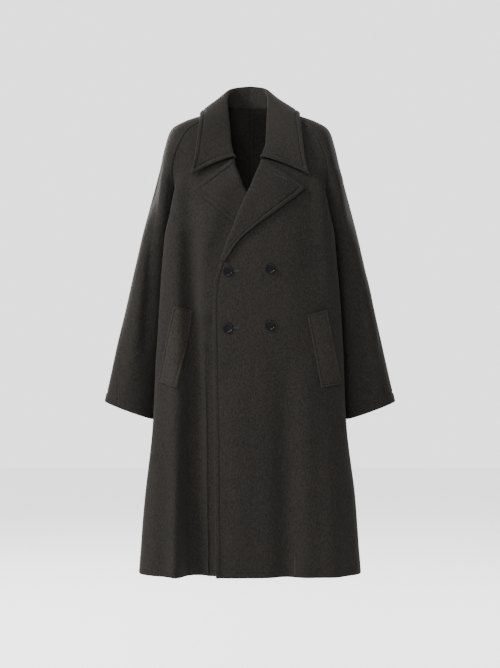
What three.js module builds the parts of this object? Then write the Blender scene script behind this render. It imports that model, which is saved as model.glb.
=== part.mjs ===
// A double-breasted wool coat with raglan sleeves, a turned collar and wide lapels, hollow, as worn.
// Millimetres, +Z up, the front faces -Y. The origin is the centre of the neck, level with the back
// neck seam.
// "side" is +1 for the wearer's left (+X) and -1 for the wearer's right. Widths are given outwards
// from the centre.
import * as THREE from "three";

const CLOTH_WALL = 2.4;
const FOLDED_WALL = 4; // collar and lapels are two layers sewn together
const SEAM_GAP = 0.4;
const HEM_Z = -1135;
const UNDERARM = 7; // station of the underarm point
const LAPEL_FOOT = 8.6; // station where the lapel starts to turn
const GORGE = 3.45; // station where collar and lapel meet
const LAST = 16; // station of the hem
const CUFF = 12; // station of the cuff

// Stations count down the coat from the neck: 0 neck, 7 underarm, 16 hem on the body and 12 cuff on
// the sleeves.
const BODY_STATIONS = [
  0, 0.6, 1.2, 1.9, 2.6, GORGE, 4, 4.5, 5, 5.5, 6, 6.5, UNDERARM, 8, LAPEL_FOOT,
  9.6, 10.3, 11, 11.7, 12.4, 13.1, 13.8, 14.5, 15.2, LAST,
];
const RAGLAN_STATIONS = BODY_STATIONS.filter((s) => s <= UNDERARM);
const TUBE_STATIONS = [7.6, 8.2, 8.8, 9.4, 10, 10.5, 11, 11.5, CUFF];

// Raglan seams and crest of the shoulder: station, then x, y, z of the front seam, the crest and
// the back seam.
const RAGLAN = {
  station: [0, 1, 2, 3, 4, 5, 6, 7],
  front: [
    [79, -18, -14],
    [118, -52, -46],
    [150, -72, -72],
    [172, -84, -112],
    [186, -84, -165],
    [180, -60, -225],
    [167, -20, -280],
    [155, 20, -318],
  ],
  back: [
    [68, 42, 1],
    [112, 82, -28],
    [150, 104, -66],
    [176, 112, -110],
    [188, 108, -168],
    [184, 88, -228],
    [170, 56, -282],
    [155, 20, -318],
  ],
};

// Sleeve sections: inner (underarm seam) and outer (crest) points, and how far each half bellies at
// either end.
const SLEEVE = {
  station: [0, 1, 2, 3, 4, 5, 6, 7, 8, 9, 10, 11, 12],
  inner: [
    [155, 20, -318],
    [170, 18, -402],
    [187, 14, -500],
    [204, 8, -608],
    [221, 2, -706],
    [236, -4, -769],
  ],
  outer: [
    [80, 10, -3],
    [120, 14, -25],
    [160, 16, -41],
    [192, 18, -60],
    [207, 18, -98],
    [224, 18, -168],
    [244, 18, -243],
    [262, 18, -312],
    [281, 15, -396],
    [300, 11, -482],
    [323, 5, -583],
    [343, 0, -674],
    [355, -3, -725],
  ],
  frontInnerBelly: [
    [0.4, 8, 4],
    [2, 18, 14],
    [8, 14, 26],
    [14, 2, 34],
    [16, -14, 24],
    [34, -42, 8],
    [44, -72, -4],
    [54, -92, -2],
    [58, -90, 0],
    [44, -94, 0],
    [30, -88, 0],
    [14, -74, 0],
    [4, -64, 0],
  ],
  frontOuterBelly: [
    [0, -8, -3],
    [0, -22, 0],
    [0, -36, 0],
    [0, -52, 0],
    [0, -72, -4],
    [0, -92, -10],
    [0, -104, -12],
    [0, -110, -4],
    [0, -106, 0],
    [0, -102, 0],
    [4, -92, 0],
    [4, -76, 0],
    [2, -66, 0],
  ],
  backOuterBelly: [
    [-1, 10, 2],
    [0, 24, 2],
    [0, 38, 2],
    [0, 50, 0],
    [0, 66, -2],
    [0, 84, -8],
    [0, 98, -10],
    [0, 108, -4],
    [0, 106, 0],
    [0, 100, 0],
    [2, 88, 0],
    [2, 74, 0],
    [0, 62, 0],
  ],
  backInnerBelly: [
    [6, -10, -1],
    [2, -22, 4],
    [6, -12, 18],
    [10, 2, 28],
    [14, 12, 20],
    [46, 16, 6],
    [62, 34, 0],
    [64, 80, 0],
    [58, 86, 0],
    [42, 90, 0],
    [20, 84, 0],
    [10, 72, 0],
    [4, 62, 0],
  ],
};

// Front half-sections: height at the centre, y at the centre, the chest point (x, y) and the corner
// (x, y, z).
const FRONT = {
  station: [0, 1, 2, 3, 4, 5, 6, 7, 8, 10, 11.5, 13, 14.5, 16],
  centreZ: [-14, -50, -92, -133, -166, -216, -266, -318, -354, -478, -600, -780, -950, HEM_Z],
  centreY: [-12, -38, -66, -96, -107, -120, -128, -133, -135, -138, -141, -145, -148, -150],
  chestX: [78, 90, 92, 92, 105, 110, 115, 120, 120, 120, 120, 125, 130, 130],
  chestY: [-18, -47, -75, -90.5, -98, -109, -117, -122, -124, -128, -131, -135, -140, -147],
  cornerX: [79, 104, 121, 136, 155, 178, 190, 201, 205, 215, 222, 230, 247, 258],
  cornerY: [-18, -51, -75.5, -88.5, -92.5, -90, -88, -86, -85, -84, -80, -74, -84, -92],
  cornerZ: [-14, -48, -80, -118, -165, -220, -270, -318, -354, -478, -600, -780, -950, HEM_Z],
};

// Back half-sections, with the same columns.
const BACK = {
  station: FRONT.station,
  centreZ: [0, -30, -66, -108, -160, -218, -272, -318, -354, -478, -600, -780, -950, HEM_Z],
  centreY: [75, 87, 99, 109, 117, 122, 125, 126, 127, 130, 134, 141, 151, 163],
  chestX: [38, 60, 80, 90, 100, 100, 100, 100, 100, 105, 110, 115, 120, 125],
  chestY: [66.5, 88, 102, 113, 120, 124, 126, 126, 127, 128, 131, 137, 148, 160],
  cornerX: [56, 92, 120, 140, 160, 176, 186, 190, 192, 199, 206, 217, 238, 250],
  cornerY: [54, 86, 105, 115, 116, 108, 104, 100, 101, 105, 106, 108, 112, 116],
  cornerZ: [0.5, -29, -66, -109, -164, -222, -275, -318, -354, -478, -600, -780, -950, HEM_Z],
};

// Side seam below the underarm.
const SIDE = {
  station: [7, 8, 10, 11.5, 13, 14.5, 16],
  x: [155, 150, 156, 172, 198, 240, 264],
  y: [20, 22, 25, 25, 25, 22, 20],
};

// Front edge, roll line and neck seam, as distance outwards from the centre. The fronts overlap
// below the lapels.
const EDGE = {
  station: [0, 1, 2, 3, GORGE, 4, 5, 6, 7, 8, LAPEL_FOOT, 9.6, 11, 13, 14.5, 16],
  left: [79, 72, 58, 43, 28, 19, -2, -25, -44, -59, -70, -86, -88, -84, -82, -80],
  right: [79, 74, 62, 50, 38, 32, 12, -19, -42, -57, -68, -82, -82, -82, -82, -82],
};

// Outer edge of the lapels, from the foot up to the tip.
const LAPEL = {
  station: [GORGE, 4, 4.5, 5, 5.5, 6, 6.5, 7, 8, LAPEL_FOOT],
  leftX: [134, 120, 106, 88, 68, 47, 26, 4, -28, -58],
  leftZ: [-213, -225, -237, -250, -266, -281, -296, -314, -343, -389],
  rightX: [134, 120, 106, 88, 68, 48, 28, 6, -26, -57],
  rightZ: [-214, -228, -241, -255, -273, -289, -305, -322, -347, -386],
};

// Collar stations round the neck: roll (top of the fold) and outer edge of the fall.
const COLLAR = {
  station: [0, 1, 2, 3, 4, 5, 6, 7],
  rollRight: [
    [37, -103, -141],
    [46, -86, -108],
    [50, -58, -64],
    [54, -28, -24],
    [57, 8, 16],
    [52, 46, 42],
    [34, 74, 54],
    [-2, 87, 60],
  ],
  rollLeft: [
    [27, -105, -141],
    [38, -88, -108],
    [41, -60, -64],
    [43, -30, -24],
    [45, 8, 16],
    [42, 46, 42],
    [30, 74, 54],
    [2, 87, 60],
  ],
  edge: [
    [141, -105, -182],
    [131, -102, -132],
    [125, -84, -78],
    [122, -51, -42],
    [122, 10, -21],
    [108, 86, -24],
    [62, 99, -26],
    [0, 101, -24],
  ],
};

// Long folds in the body cloth: panel, side, where each starts and ends, how deep and how wide.
// Depth is inwards.
const FOLDS = [
  { panel: "front", side: -1, fromX: 150, toX: 132, fromZ: -120, toZ: HEM_Z,
    fromDepth: 3, toDepth: 26, halfWidth: 19 },
  { panel: "front", side: -1, fromX: 172, toX: 172, fromZ: -300, toZ: HEM_Z,
    fromDepth: -2, toDepth: -22, halfWidth: 22 },
  { panel: "front", side: 1, fromX: 110, toX: 92, fromZ: -480, toZ: HEM_Z,
    fromDepth: 1, toDepth: 14, halfWidth: 34 },
  { panel: "front", side: 1, fromX: 185, toX: 196, fromZ: -560, toZ: HEM_Z,
    fromDepth: -1, toDepth: -13, halfWidth: 30 },
  { panel: "back", side: -1, fromX: 80, toX: 96, fromZ: -520, toZ: HEM_Z,
    fromDepth: 1, toDepth: 15, halfWidth: 26 },
  { panel: "back", side: 1, fromX: 70, toX: 108, fromZ: -600, toZ: HEM_Z,
    fromDepth: 1, toDepth: 13, halfWidth: 28 },
  { panel: "back", side: -1, fromX: 165, toX: 176, fromZ: -560, toZ: HEM_Z,
    fromDepth: -1, toDepth: -12, halfWidth: 28 },
  { panel: "back", side: 1, fromX: 160, toX: 186, fromZ: -640, toZ: HEM_Z,
    fromDepth: -1, toDepth: -10, halfWidth: 28 },
];

// Pocket welts: corners on the front, as x outwards and height, and how far the welt stands off the front.
const WELT = {
  topInner: { left: [135, -516], right: [135, -506] },
  topOuter: { left: [182, -504], right: [180, -495] },
  bottomInner: { left: [168, -689], right: [173, -689] },
  bottomOuter: { left: [217, -679], right: [217, -674] },
  wall: 2.2,
  lift: 1.1,
};

const BUTTON = { radius: 12, thick: 4.2, rim: 2.2, dish: 1.2, seat: 0.4 };
const BUTTON_PLACES = [
  [-52, -413],
  [-52, -547],
  [48, -407],
  [48, -541],
];

// Smooth curve through a table: the value at a station, each column by cubic pieces with matched slopes.
function along(stations, values, at) {
  const last = stations.length - 1;
  const t = Math.min(Math.max(at, stations[0]), stations[last]);
  let i = 0;
  while (i < last - 1 && t > stations[i + 1]) i += 1;
  const slope = (k) => {
    const before = Math.max(k - 1, 0);
    const after = Math.min(k + 1, last);
    return (values[after] - values[before]) / (stations[after] - stations[before]);
  };
  const width = stations[i + 1] - stations[i];
  const u = (t - stations[i]) / width;
  const a = values[i];
  const b = values[i + 1];
  const rise = (u * u * (3 - 2 * u)) * (b - a);
  return a + rise + width * (u * (1 - u) * (1 - u) * slope(i) - u * u * (1 - u) * slope(i + 1));
}

function alongPoints(stations, points, at) {
  const column = (k) => along(stations, points.map((p) => p[k]), at);
  return new THREE.Vector3(column(0), column(1), column(2));
}

function smoothStep(from, to, value) {
  const t = Math.min(Math.max((value - from) / (to - from), 0), 1);
  return t * t * (3 - 2 * t);
}

function mix(a, b, t) {
  return a + (b - a) * t;
}

function bezier(start, startBelly, endBelly, end, t) {
  const a = start.clone().add(startBelly);
  const b = end.clone().add(endBelly);
  const s = 1 - t;
  return start
    .clone()
    .multiplyScalar(s * s * s)
    .addScaledVector(a, 3 * s * s * t)
    .addScaledVector(b, 3 * s * t * t)
    .addScaledVector(end, t * t * t);
}

const SIDES = { left: 1, right: -1 };

// Outer end of a body row: the raglan seam above the underarm, and the side seam below it.
function bodySeam(panel, station) {
  if (station <= UNDERARM) return alongPoints(RAGLAN.station, RAGLAN[panel], station);
  const table = panel === "front" ? FRONT : BACK;
  return new THREE.Vector3(
    along(SIDE.station, SIDE.x, station),
    along(SIDE.station, SIDE.y, station),
    along(table.station, table.centreZ, station),
  );
}

// One half-section of the body as a curve from past the centre out to the seam.
function bodyRow(panel, station) {
  const table = panel === "front" ? FRONT : BACK;
  const value = (column) => along(table.station, table[column], station);
  const centreY = value("centreY");
  const chestX = value("chestX");
  const chestY = value("chestY");
  const centreZ = value("centreZ");
  const between = mix(centreY, chestY, 0.28);
  const corner = new THREE.Vector3(value("cornerX"), value("cornerY"), value("cornerZ"));
  const chestZ = mix(centreZ, corner.z, 0.5 * smoothStep(0, corner.x, chestX));
  const points = [
    new THREE.Vector3(-chestX, chestY, centreZ),
    new THREE.Vector3(-chestX / 2, between, centreZ),
    new THREE.Vector3(0, centreY, centreZ),
    new THREE.Vector3(chestX / 2, between, centreZ),
    new THREE.Vector3(chestX, chestY, chestZ),
    corner,
    bodySeam(panel, station),
  ];
  return new THREE.CatmullRomCurve3(points, false, "centripetal");
}

// The curve's parameter where it is a given distance from the centre, before it turns back at the corner.
const CORNER_T = 5 / 6;
function rowParameter(curve, x) {
  let low = 0;
  let high = CORNER_T;
  for (let step = 0; step < 30; step += 1) {
    const middle = (low + high) / 2;
    if (curve.getPoint(middle).x < x) low = middle;
    else high = middle;
  }
  return (low + high) / 2;
}

// How far the cloth sinks at a point: the long folds, and the room that the overlapping fronts
// leave each other.
function foldDepth(panel, side, x, z) {
  let depth = 0;
  for (const fold of FOLDS) {
    if (fold.panel !== panel || fold.side !== side || z > fold.fromZ) continue;
    const down = (fold.fromZ - z) / (fold.fromZ - fold.toZ);
    const offset = (x - mix(fold.fromX, fold.toX, down)) / fold.halfWidth;
    const grown = mix(fold.fromDepth, fold.toDepth, down ** 1.3) * smoothStep(0, 0.12, down);
    depth += grown * Math.exp(-offset * offset);
  }
  return depth;
}

function overlapDepth(side, x, z) {
  const lapelZone = smoothStep(-470, -405, z) * smoothStep(-150, -215, z);
  const closedZone = smoothStep(-190, -226, z);
  if (side === 1) {
    const open = smoothStep(120, 60, x);
    return -4 * open * lapelZone - 3 * smoothStep(-60, -80, x) * smoothStep(-700, HEM_Z, z);
  }
  const leftEdge = mix(92, 34, smoothStep(-420, -230, z));
  const under = smoothStep(leftEdge + 34, leftEdge + 2, x);
  const followed = x < 0 ? foldDepth("front", 1, -x, z) : 0;
  return followed + under * closedZone * (mix(4.2, 7.5, lapelZone) + 9 * smoothStep(-700, HEM_Z, z));
}

// A point of the body cloth, with its folds.
function bodyPoint(panel, side, station, parameter) {
  const curve = bodyRow(panel, station);
  const point = curve.getPoint(parameter);
  const tangent = curve.getTangent(parameter);
  const turn = panel === "front" ? 1 : -1;
  const outwards = new THREE.Vector3(tangent.y * turn, -tangent.x * turn, 0);
  outwards.normalize();
  const calm = smoothStep(1, CORNER_T, parameter);
  const centreCalm = panel === "back" ? smoothStep(0, 40, point.x) : 1;
  let depth = foldDepth(panel, side, point.x, point.z) * calm * centreCalm;
  if (panel === "front") depth += overlapDepth(side, point.x, point.z);
  point.addScaledVector(outwards, -depth);
  return new THREE.Vector3(point.x * side, point.y, point.z);
}

// Columns of a body panel: evenly out to the fold, closer across it, then to the corner and round
// to the seam.
const FOLD_SPREAD = 34;
function bodyColumns(panel, side, station, edgeX, curve) {
  const cornerX = curve.getPoint(CORNER_T).x;
  const z = curve.getPoint(0.5).z;
  const fold = FOLDS.find((f) => f.panel === panel && f.side === side);
  const foldX = mix(fold.fromX, fold.toX, (fold.fromZ - z) / (fold.fromZ - fold.toZ));
  const room = cornerX - edgeX;
  const low = Math.min(Math.max(foldX - FOLD_SPREAD, edgeX + room * 0.4), edgeX + room * 0.75);
  const high = Math.min(Math.max(foldX + FOLD_SPREAD, low + room * 0.1), edgeX + room * 0.92);
  const stops = [edgeX, low, high, cornerX];
  const counts = panel === "front" ? [4, 4, 2] : [3, 3, 2];
  const columns = [];
  counts.forEach((count, k) => {
    for (let j = 0; j < count; j += 1) {
      columns.push(rowParameter(curve, mix(stops[k], stops[k + 1], j / count)));
    }
  });
  const flankCount = 4;
  for (let j = 0; j <= flankCount; j += 1) columns.push(mix(CORNER_T, 1, j / flankCount));
  return columns;
}

// Distance that the fold of the lapel takes up inside the roll line.
function lapelGap(side, station) {
  const open = side === 1 ? smoothStep(9, 6.5, station) : smoothStep(5.6, 4.6, station);
  return mix(0.9, 5.5, open);
}

function frontEdgeX(sideName, station) {
  const x = along(EDGE.station, EDGE[sideName], station);
  if (station < GORGE - 0.01 || station > LAPEL_FOOT + 0.01) return x;
  return x + FOLDED_WALL + lapelGap(SIDES[sideName], station) / 2;
}

function frontGrid(sideName) {
  const side = SIDES[sideName];
  return BODY_STATIONS.map((station) => {
    const curve = bodyRow("front", station);
    const seam = bodySeam("front", station);
    const columns = bodyColumns("front", side, station, frontEdgeX(sideName, station), curve);
    return columns.map((parameter, j) => {
      if (station === 0) return new THREE.Vector3(seam.x * side, seam.y, seam.z);
      const point = bodyPoint("front", side, station, parameter);
      return j === columns.length - 1 ? new THREE.Vector3(seam.x * side, seam.y, seam.z) : point;
    });
  }).reverse();
}

function backGrid(sideName) {
  const side = SIDES[sideName];
  return BODY_STATIONS.map((station) => {
    const curve = bodyRow("back", station);
    const seam = bodySeam("back", station);
    const frontSeam = bodySeam("front", station);
    const end = station < UNDERARM ? seam : frontSeam;
    const columns = bodyColumns("back", side, station, 0, curve);
    return columns.map((parameter, j) => {
      if (j === columns.length - 1) return new THREE.Vector3(end.x * side, end.y, end.z);
      const point = bodyPoint("back", side, station, parameter);
      return j === 0 ? point.setX(0) : point;
    });
  }).reverse();
}

// Where the overarm seam runs: on the crest of the shoulder, then turning to the front of the forearm.
function seamTurn(station) {
  return 1 - 0.36 * smoothStep(8, CUFF, station);
}

function sleeveSection(station) {
  const inner = (panel) =>
    station <= UNDERARM
      ? alongPoints(RAGLAN.station, RAGLAN[panel], station)
      : alongPoints(SLEEVE.station.slice(UNDERARM), SLEEVE.inner, station);
  const outer = alongPoints(SLEEVE.station, SLEEVE.outer, station);
  const belly = (name) => alongPoints(SLEEVE.station, SLEEVE[name], station);
  const front = (t) => bezier(inner("front"), belly("frontInnerBelly"), belly("frontOuterBelly"), outer, t);
  const back = (t) => bezier(outer, belly("backOuterBelly"), belly("backInnerBelly"), inner("back"), t);
  return { front, back };
}

const SLEEVE_COLUMNS = 7;
function sleeveGrid(half, sideName) {
  const side = SIDES[sideName];
  return [...RAGLAN_STATIONS, ...TUBE_STATIONS].map((station) => {
    const section = sleeveSection(station);
    const turn = seamTurn(station);
    const row = [];
    for (let j = 0; j <= SLEEVE_COLUMNS; j += 1) {
      const t = j / SLEEVE_COLUMNS;
      const place = half === "front" ? t * turn : turn + t * (2 - turn);
      const point = place <= 1 ? section.front(place) : section.back(place - 1);
      row.push(new THREE.Vector3(point.x * side, point.y, point.z));
    }
    return row;
  });
}

// The front's outer surface at a distance from the centre and a height, for what lies on it.
function stationAtHeight(z) {
  let low = 0;
  let high = LAST;
  for (let step = 0; step < 30; step += 1) {
    const middle = (low + high) / 2;
    if (along(FRONT.station, FRONT.centreZ, middle) > z) low = middle;
    else high = middle;
  }
  return (low + high) / 2;
}

function onFront(side, x, z) {
  const station = stationAtHeight(z);
  const curve = bodyRow("front", station);
  const parameter = rowParameter(curve, x);
  const point = bodyPoint("front", side, station, parameter);
  const tangent = curve.getTangent(parameter);
  const normal = new THREE.Vector3(tangent.y * side, -tangent.x, 0).normalize();
  return { point: point.setZ(z), normal };
}

// Lapel: from the front's edge round the roll, and back over the chest to its outer edge.
const ROLL_STEPS = 4;
const LEAF_STEPS = 6;
function lapelGrid(sideName, front) {
  const side = SIDES[sideName];
  const stations = BODY_STATIONS.filter((s) => s >= GORGE && s <= LAPEL_FOOT);
  const rows = stations.map((station) => {
    const start = front[BODY_STATIONS.length - 1 - BODY_STATIONS.indexOf(station)][0];
    const gap = lapelGap(side, station);
    const outerX = along(LAPEL.station, LAPEL[`${sideName}X`], station);
    const outerZ = along(LAPEL.station, LAPEL[`${sideName}Z`], station);
    const row = [];
    for (let j = 0; j <= ROLL_STEPS; j += 1) {
      const angle = (Math.PI * j) / ROLL_STEPS;
      const inwards = (Math.sin(angle) * gap) / 2;
      const forwards = ((1 - Math.cos(angle)) * gap) / 2;
      row.push(new THREE.Vector3(start.x - side * inwards, start.y - forwards, start.z));
    }
    const startX = start.x * side;
    for (let j = 1; j <= LEAF_STEPS; j += 1) {
      const t = j / LEAF_STEPS;
      const x = mix(startX, outerX, t);
      const z = mix(start.z, outerZ, t);
      const chest = onFront(side, x, z).point;
      const rest = mix(1.3, 2.4, smoothStep(6.5, 8, station));
      const bow = 2 * Math.sin(Math.PI * t) * smoothStep(7, 4.5, station);
      const lift = mix(gap, rest, smoothStep(0, 0.5, t)) + bow;
      row.push(new THREE.Vector3(chest.x, chest.y - lift, chest.z - (station === GORGE ? 1.6 : 0)));
    }
    return row;
  });
  return rows.reverse();
}

// Collar: stand up from the neck seam, over the fold, and the fall down to its outer edge.
const STAND_STEPS = 3;
const FALL_STEPS = 7;
const FOLD_RADIUS = 4.5;
function collarSection(neck, roll, edge, atFront) {
  const outwards = edge.clone().sub(neck).setZ(0).normalize();
  const rise = roll.clone().sub(neck);
  const top = roll.clone().addScaledVector(outwards, FOLDED_WALL * 0.6);
  top.z -= FOLDED_WALL * 0.8 * (1 - atFront);
  top.y += FOLDED_WALL * 0.8 * atFront;
  const row = [];
  const standBelly = rise.clone().multiplyScalar(0.4).addScaledVector(outwards, -1.5);
  const topBelly = outwards.clone().multiplyScalar(-FOLD_RADIUS);
  topBelly.z -= 3 * (1 - atFront);
  for (let j = 0; j <= STAND_STEPS; j += 1) {
    const t = 1 - (1 - j / STAND_STEPS) ** 1.5;
    row.push(bezier(neck, standBelly, topBelly, top, t));
  }
  const fallStart = outwards.clone().multiplyScalar(FOLD_RADIUS * 2.4);
  fallStart.y -= 6 * atFront;
  const fallEnd = top.clone().sub(edge).multiplyScalar(0.42).addScaledVector(outwards, 10 * (1 - atFront));
  fallEnd.z += 7;
  for (let j = 1; j <= FALL_STEPS; j += 1) {
    const t = (j / FALL_STEPS) ** 1.25;
    row.push(bezier(top, fallStart, fallEnd, edge, t));
  }
  return row;
}

// Neck seam points in order from the front end round to the centre back, each with its place 0 to 7
// on the collar.
function neckStations(front, sleeveFront, sleeveBack, back) {
  const rowsUp = BODY_STATIONS.filter((s) => s <= GORGE).reverse();
  const list = rowsUp.map((station) => {
    const row = front[BODY_STATIONS.length - 1 - BODY_STATIONS.indexOf(station)];
    return { point: row[0], place: (3 * (GORGE - station)) / GORGE };
  });
  for (let j = 1; j <= SLEEVE_COLUMNS; j += 1) {
    list.push({ point: sleeveFront[0][j], place: 3 + j / SLEEVE_COLUMNS });
  }
  for (let j = 1; j <= SLEEVE_COLUMNS; j += 1) {
    list.push({ point: sleeveBack[0][j], place: 4 + j / SLEEVE_COLUMNS });
  }
  const top = back[back.length - 1];
  const count = top.length - 1;
  for (let j = count - 1; j >= 0; j -= 1) {
    list.push({ point: top[j], place: 5 + (2 * (count - j)) / count });
  }
  return list;
}

function collarRows(side, stations) {
  return stations.map(({ point, place }) => {
    const flip = (p) => new THREE.Vector3(p.x * side, p.y, p.z);
    const rolls = side === 1 ? COLLAR.rollLeft : COLLAR.rollRight;
    const roll = flip(alongPoints(COLLAR.station, rolls, place));
    const edge = flip(alongPoints(COLLAR.station, COLLAR.edge, place));
    return collarSection(point.clone(), roll, edge, smoothStep(1.4, 0, place));
  });
}

// The point of a front's faceted surface straight behind a place seen from the front.
function seatOn(frontMesh, x, z) {
  const ray = new THREE.Raycaster(new THREE.Vector3(x, -400, z), new THREE.Vector3(0, 1, 0));
  return ray.intersectObject(frontMesh)[0].point;
}

// A patch on the front between four corners.
function weltGrid(sideName, frontMesh) {
  const side = SIDES[sideName];
  const across = 8;
  const down = 12;
  const rows = [];
  for (let i = down; i >= 0; i -= 1) {
    const v = i / down;
    const row = [];
    for (let j = 0; j <= across; j += 1) {
      const u = j / across;
      const at = (k) =>
        mix(
          mix(WELT.topInner[sideName][k], WELT.topOuter[sideName][k], u),
          mix(WELT.bottomInner[sideName][k], WELT.bottomOuter[sideName][k], u),
          v,
        );
      const { point, normal } = onFront(side, at(0), at(1));
      const seat = seatOn(frontMesh, point.x, at(1));
      row.push(seat.addScaledVector(normal, WELT.wall + WELT.lift));
    }
    rows.push(row);
  }
  return rows;
}

// Normals of a grid of points; facing is +1 or -1.
function gridNormals(grid, facing) {
  const rows = grid.length;
  const columns = grid[0].length;
  return grid.map((row, i) =>
    row.map((_, j) => {
      for (let reach = 1; reach < 4; reach += 1) {
        const across = grid[i][Math.min(j + reach, columns - 1)].clone().sub(grid[i][Math.max(j - reach, 0)]);
        const up = grid[Math.min(i + reach, rows - 1)][j].clone().sub(grid[Math.max(i - reach, 0)][j]);
        if (across.lengthSq() < 1e-6) {
          const near = i === 0 ? 1 : i - 1;
          across.copy(grid[near][Math.min(j + 1, columns - 1)]).sub(grid[near][Math.max(j - 1, 0)]);
        }
        const normal = across.cross(up).multiplyScalar(facing);
        if (normal.lengthSq() > 1e-6) return normal.normalize();
      }
      return new THREE.Vector3(0, -1, 0);
    }),
  );
}

function isEdge(panel, i, j) {
  return i === 0 || j === 0 || i === panel.grid.length - 1 || j === panel.grid[0].length - 1;
}

const placeKey = (p) => `${Math.round(p.x * 20)},${Math.round(p.y * 20)},${Math.round(p.z * 20)}`;

// Where panels share seam points, they get one common normal and each is drawn back by half the seam gap.
function joinSeams(panels) {
  const shared = new Map();
  for (const panel of panels) {
    panel.normals = gridNormals(panel.grid, panel.facing);
    panel.grid.forEach((row, i) =>
      row.forEach((point, j) => {
        if (!isEdge(panel, i, j)) return;
        const key = placeKey(point);
        if (!shared.has(key)) shared.set(key, []);
        shared.get(key).push({ panel, i, j });
      }),
    );
  }
  const moves = [];
  for (const members of shared.values()) {
    const names = new Set(members.map((m) => m.panel.name));
    if (names.size < 2 && members.length < 2) continue;
    const common = new THREE.Vector3();
    for (const m of members) common.add(m.panel.normals[m.i][m.j]);
    common.normalize();
    for (const name of names) {
      const own = members.filter((m) => m.panel.name === name);
      const inwards = new THREE.Vector3();
      for (const m of own) inwards.add(inwardsFrom(m));
      inwards.addScaledVector(common, -inwards.dot(common)).normalize();
      if (names.size < 2) inwards.set(0, 0, 0);
      for (const m of own) moves.push({ ...m, inwards, common });
    }
  }
  for (const m of moves) {
    m.panel.normals[m.i][m.j] = m.common.clone();
    m.panel.grid[m.i][m.j] = m.panel.grid[m.i][m.j].clone().addScaledVector(m.inwards, m.panel.draw);
  }
}

function inwardsFrom({ panel, i, j }) {
  const { grid } = panel;
  const rows = grid.length - 1;
  const columns = grid[0].length - 1;
  const here = grid[i][j];
  const sum = new THREE.Vector3();
  const add = (p) => {
    const step = p.clone().sub(here);
    if (step.length() > 0.5) sum.add(step.normalize());
  };
  if (i === 0) add(grid[1][j]);
  if (i === rows) add(grid[rows - 1][j]);
  if (j === 0) add(grid[i][1]);
  if (j === columns) add(grid[i][columns - 1]);
  return sum;
}

// A closed wall from a grid of outer points: the outer face, the inner face and the four rims.
function wallGeometry({ grid, normals, facing, wall }) {
  const rows = grid.length;
  const columns = grid[0].length;
  const positions = [];
  const push = (p) => positions.push(p.x, p.y, p.z);
  grid.forEach((row) => row.forEach(push));
  grid.forEach((row, i) => row.forEach((p, j) => push(p.clone().addScaledVector(normals[i][j], -wall))));
  const offset = rows * columns;
  const keys = new Map();
  const weld = [];
  for (let k = 0; k < positions.length / 3; k += 1) {
    const key = placeKeyFine(positions, k);
    if (!keys.has(key)) keys.set(key, k);
    weld.push(keys.get(key));
  }
  const indices = [];
  const triangle = (a, b, c) => {
    const [p, q, r] = [weld[a], weld[b], weld[c]];
    if (p !== q && q !== r && p !== r) indices.push(p, q, r);
  };
  const quad = (a, b, c, d) => {
    if (facing > 0) {
      triangle(a, b, c);
      triangle(a, c, d);
    } else {
      triangle(a, c, b);
      triangle(a, d, c);
    }
  };
  const at = (i, j) => i * columns + j;
  for (let i = 0; i < rows - 1; i += 1) {
    for (let j = 0; j < columns - 1; j += 1) {
      quad(at(i, j), at(i, j + 1), at(i + 1, j + 1), at(i + 1, j));
      quad(offset + at(i, j), offset + at(i + 1, j), offset + at(i + 1, j + 1), offset + at(i, j + 1));
    }
  }
  const rim = (a, b) => quad(a, offset + a, offset + b, b);
  for (let j = 0; j < columns - 1; j += 1) {
    rim(at(0, j), at(0, j + 1));
    rim(at(rows - 1, j + 1), at(rows - 1, j));
  }
  for (let i = 0; i < rows - 1; i += 1) {
    rim(at(i + 1, 0), at(i, 0));
    rim(at(i, columns - 1), at(i + 1, columns - 1));
  }
  const geometry = new THREE.BufferGeometry();
  geometry.setAttribute("position", new THREE.Float32BufferAttribute(positions, 3));
  geometry.setIndex(indices);
  const loose = geometry.toNonIndexed();
  loose.computeVertexNormals();
  return loose;
}

function placeKeyFine(positions, k) {
  return [0, 1, 2].map((c) => Math.round(positions[3 * k + c] * 1000)).join();
}

// Button: a turned disc with a raised rim and a shallow dish.
function buttonGeometry() {
  const { radius, thick, rim, dish } = BUTTON;
  const profile = [
    [0, 0],
    [radius - 1.5, 0],
    [radius, 1.4],
    [radius, thick - 1.2],
    [radius - 0.9, thick],
    [radius - rim, thick - 0.3],
    [radius - rim - 1.4, thick - dish],
    [0, thick - dish - 0.2],
  ];
  const segments = 18;
  return new THREE.LatheGeometry(
    profile.map(([r, h]) => new THREE.Vector2(r, h)),
    segments,
  );
}

function woolMaterial() {
  return new THREE.MeshStandardMaterial({
    color: 0x2b2826,
    roughness: 0.95,
    metalness: 0,
    side: THREE.DoubleSide,
  });
}

function buttonMaterial() {
  return new THREE.MeshStandardMaterial({ color: 0x101012, roughness: 0.18, metalness: 0 });
}

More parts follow.
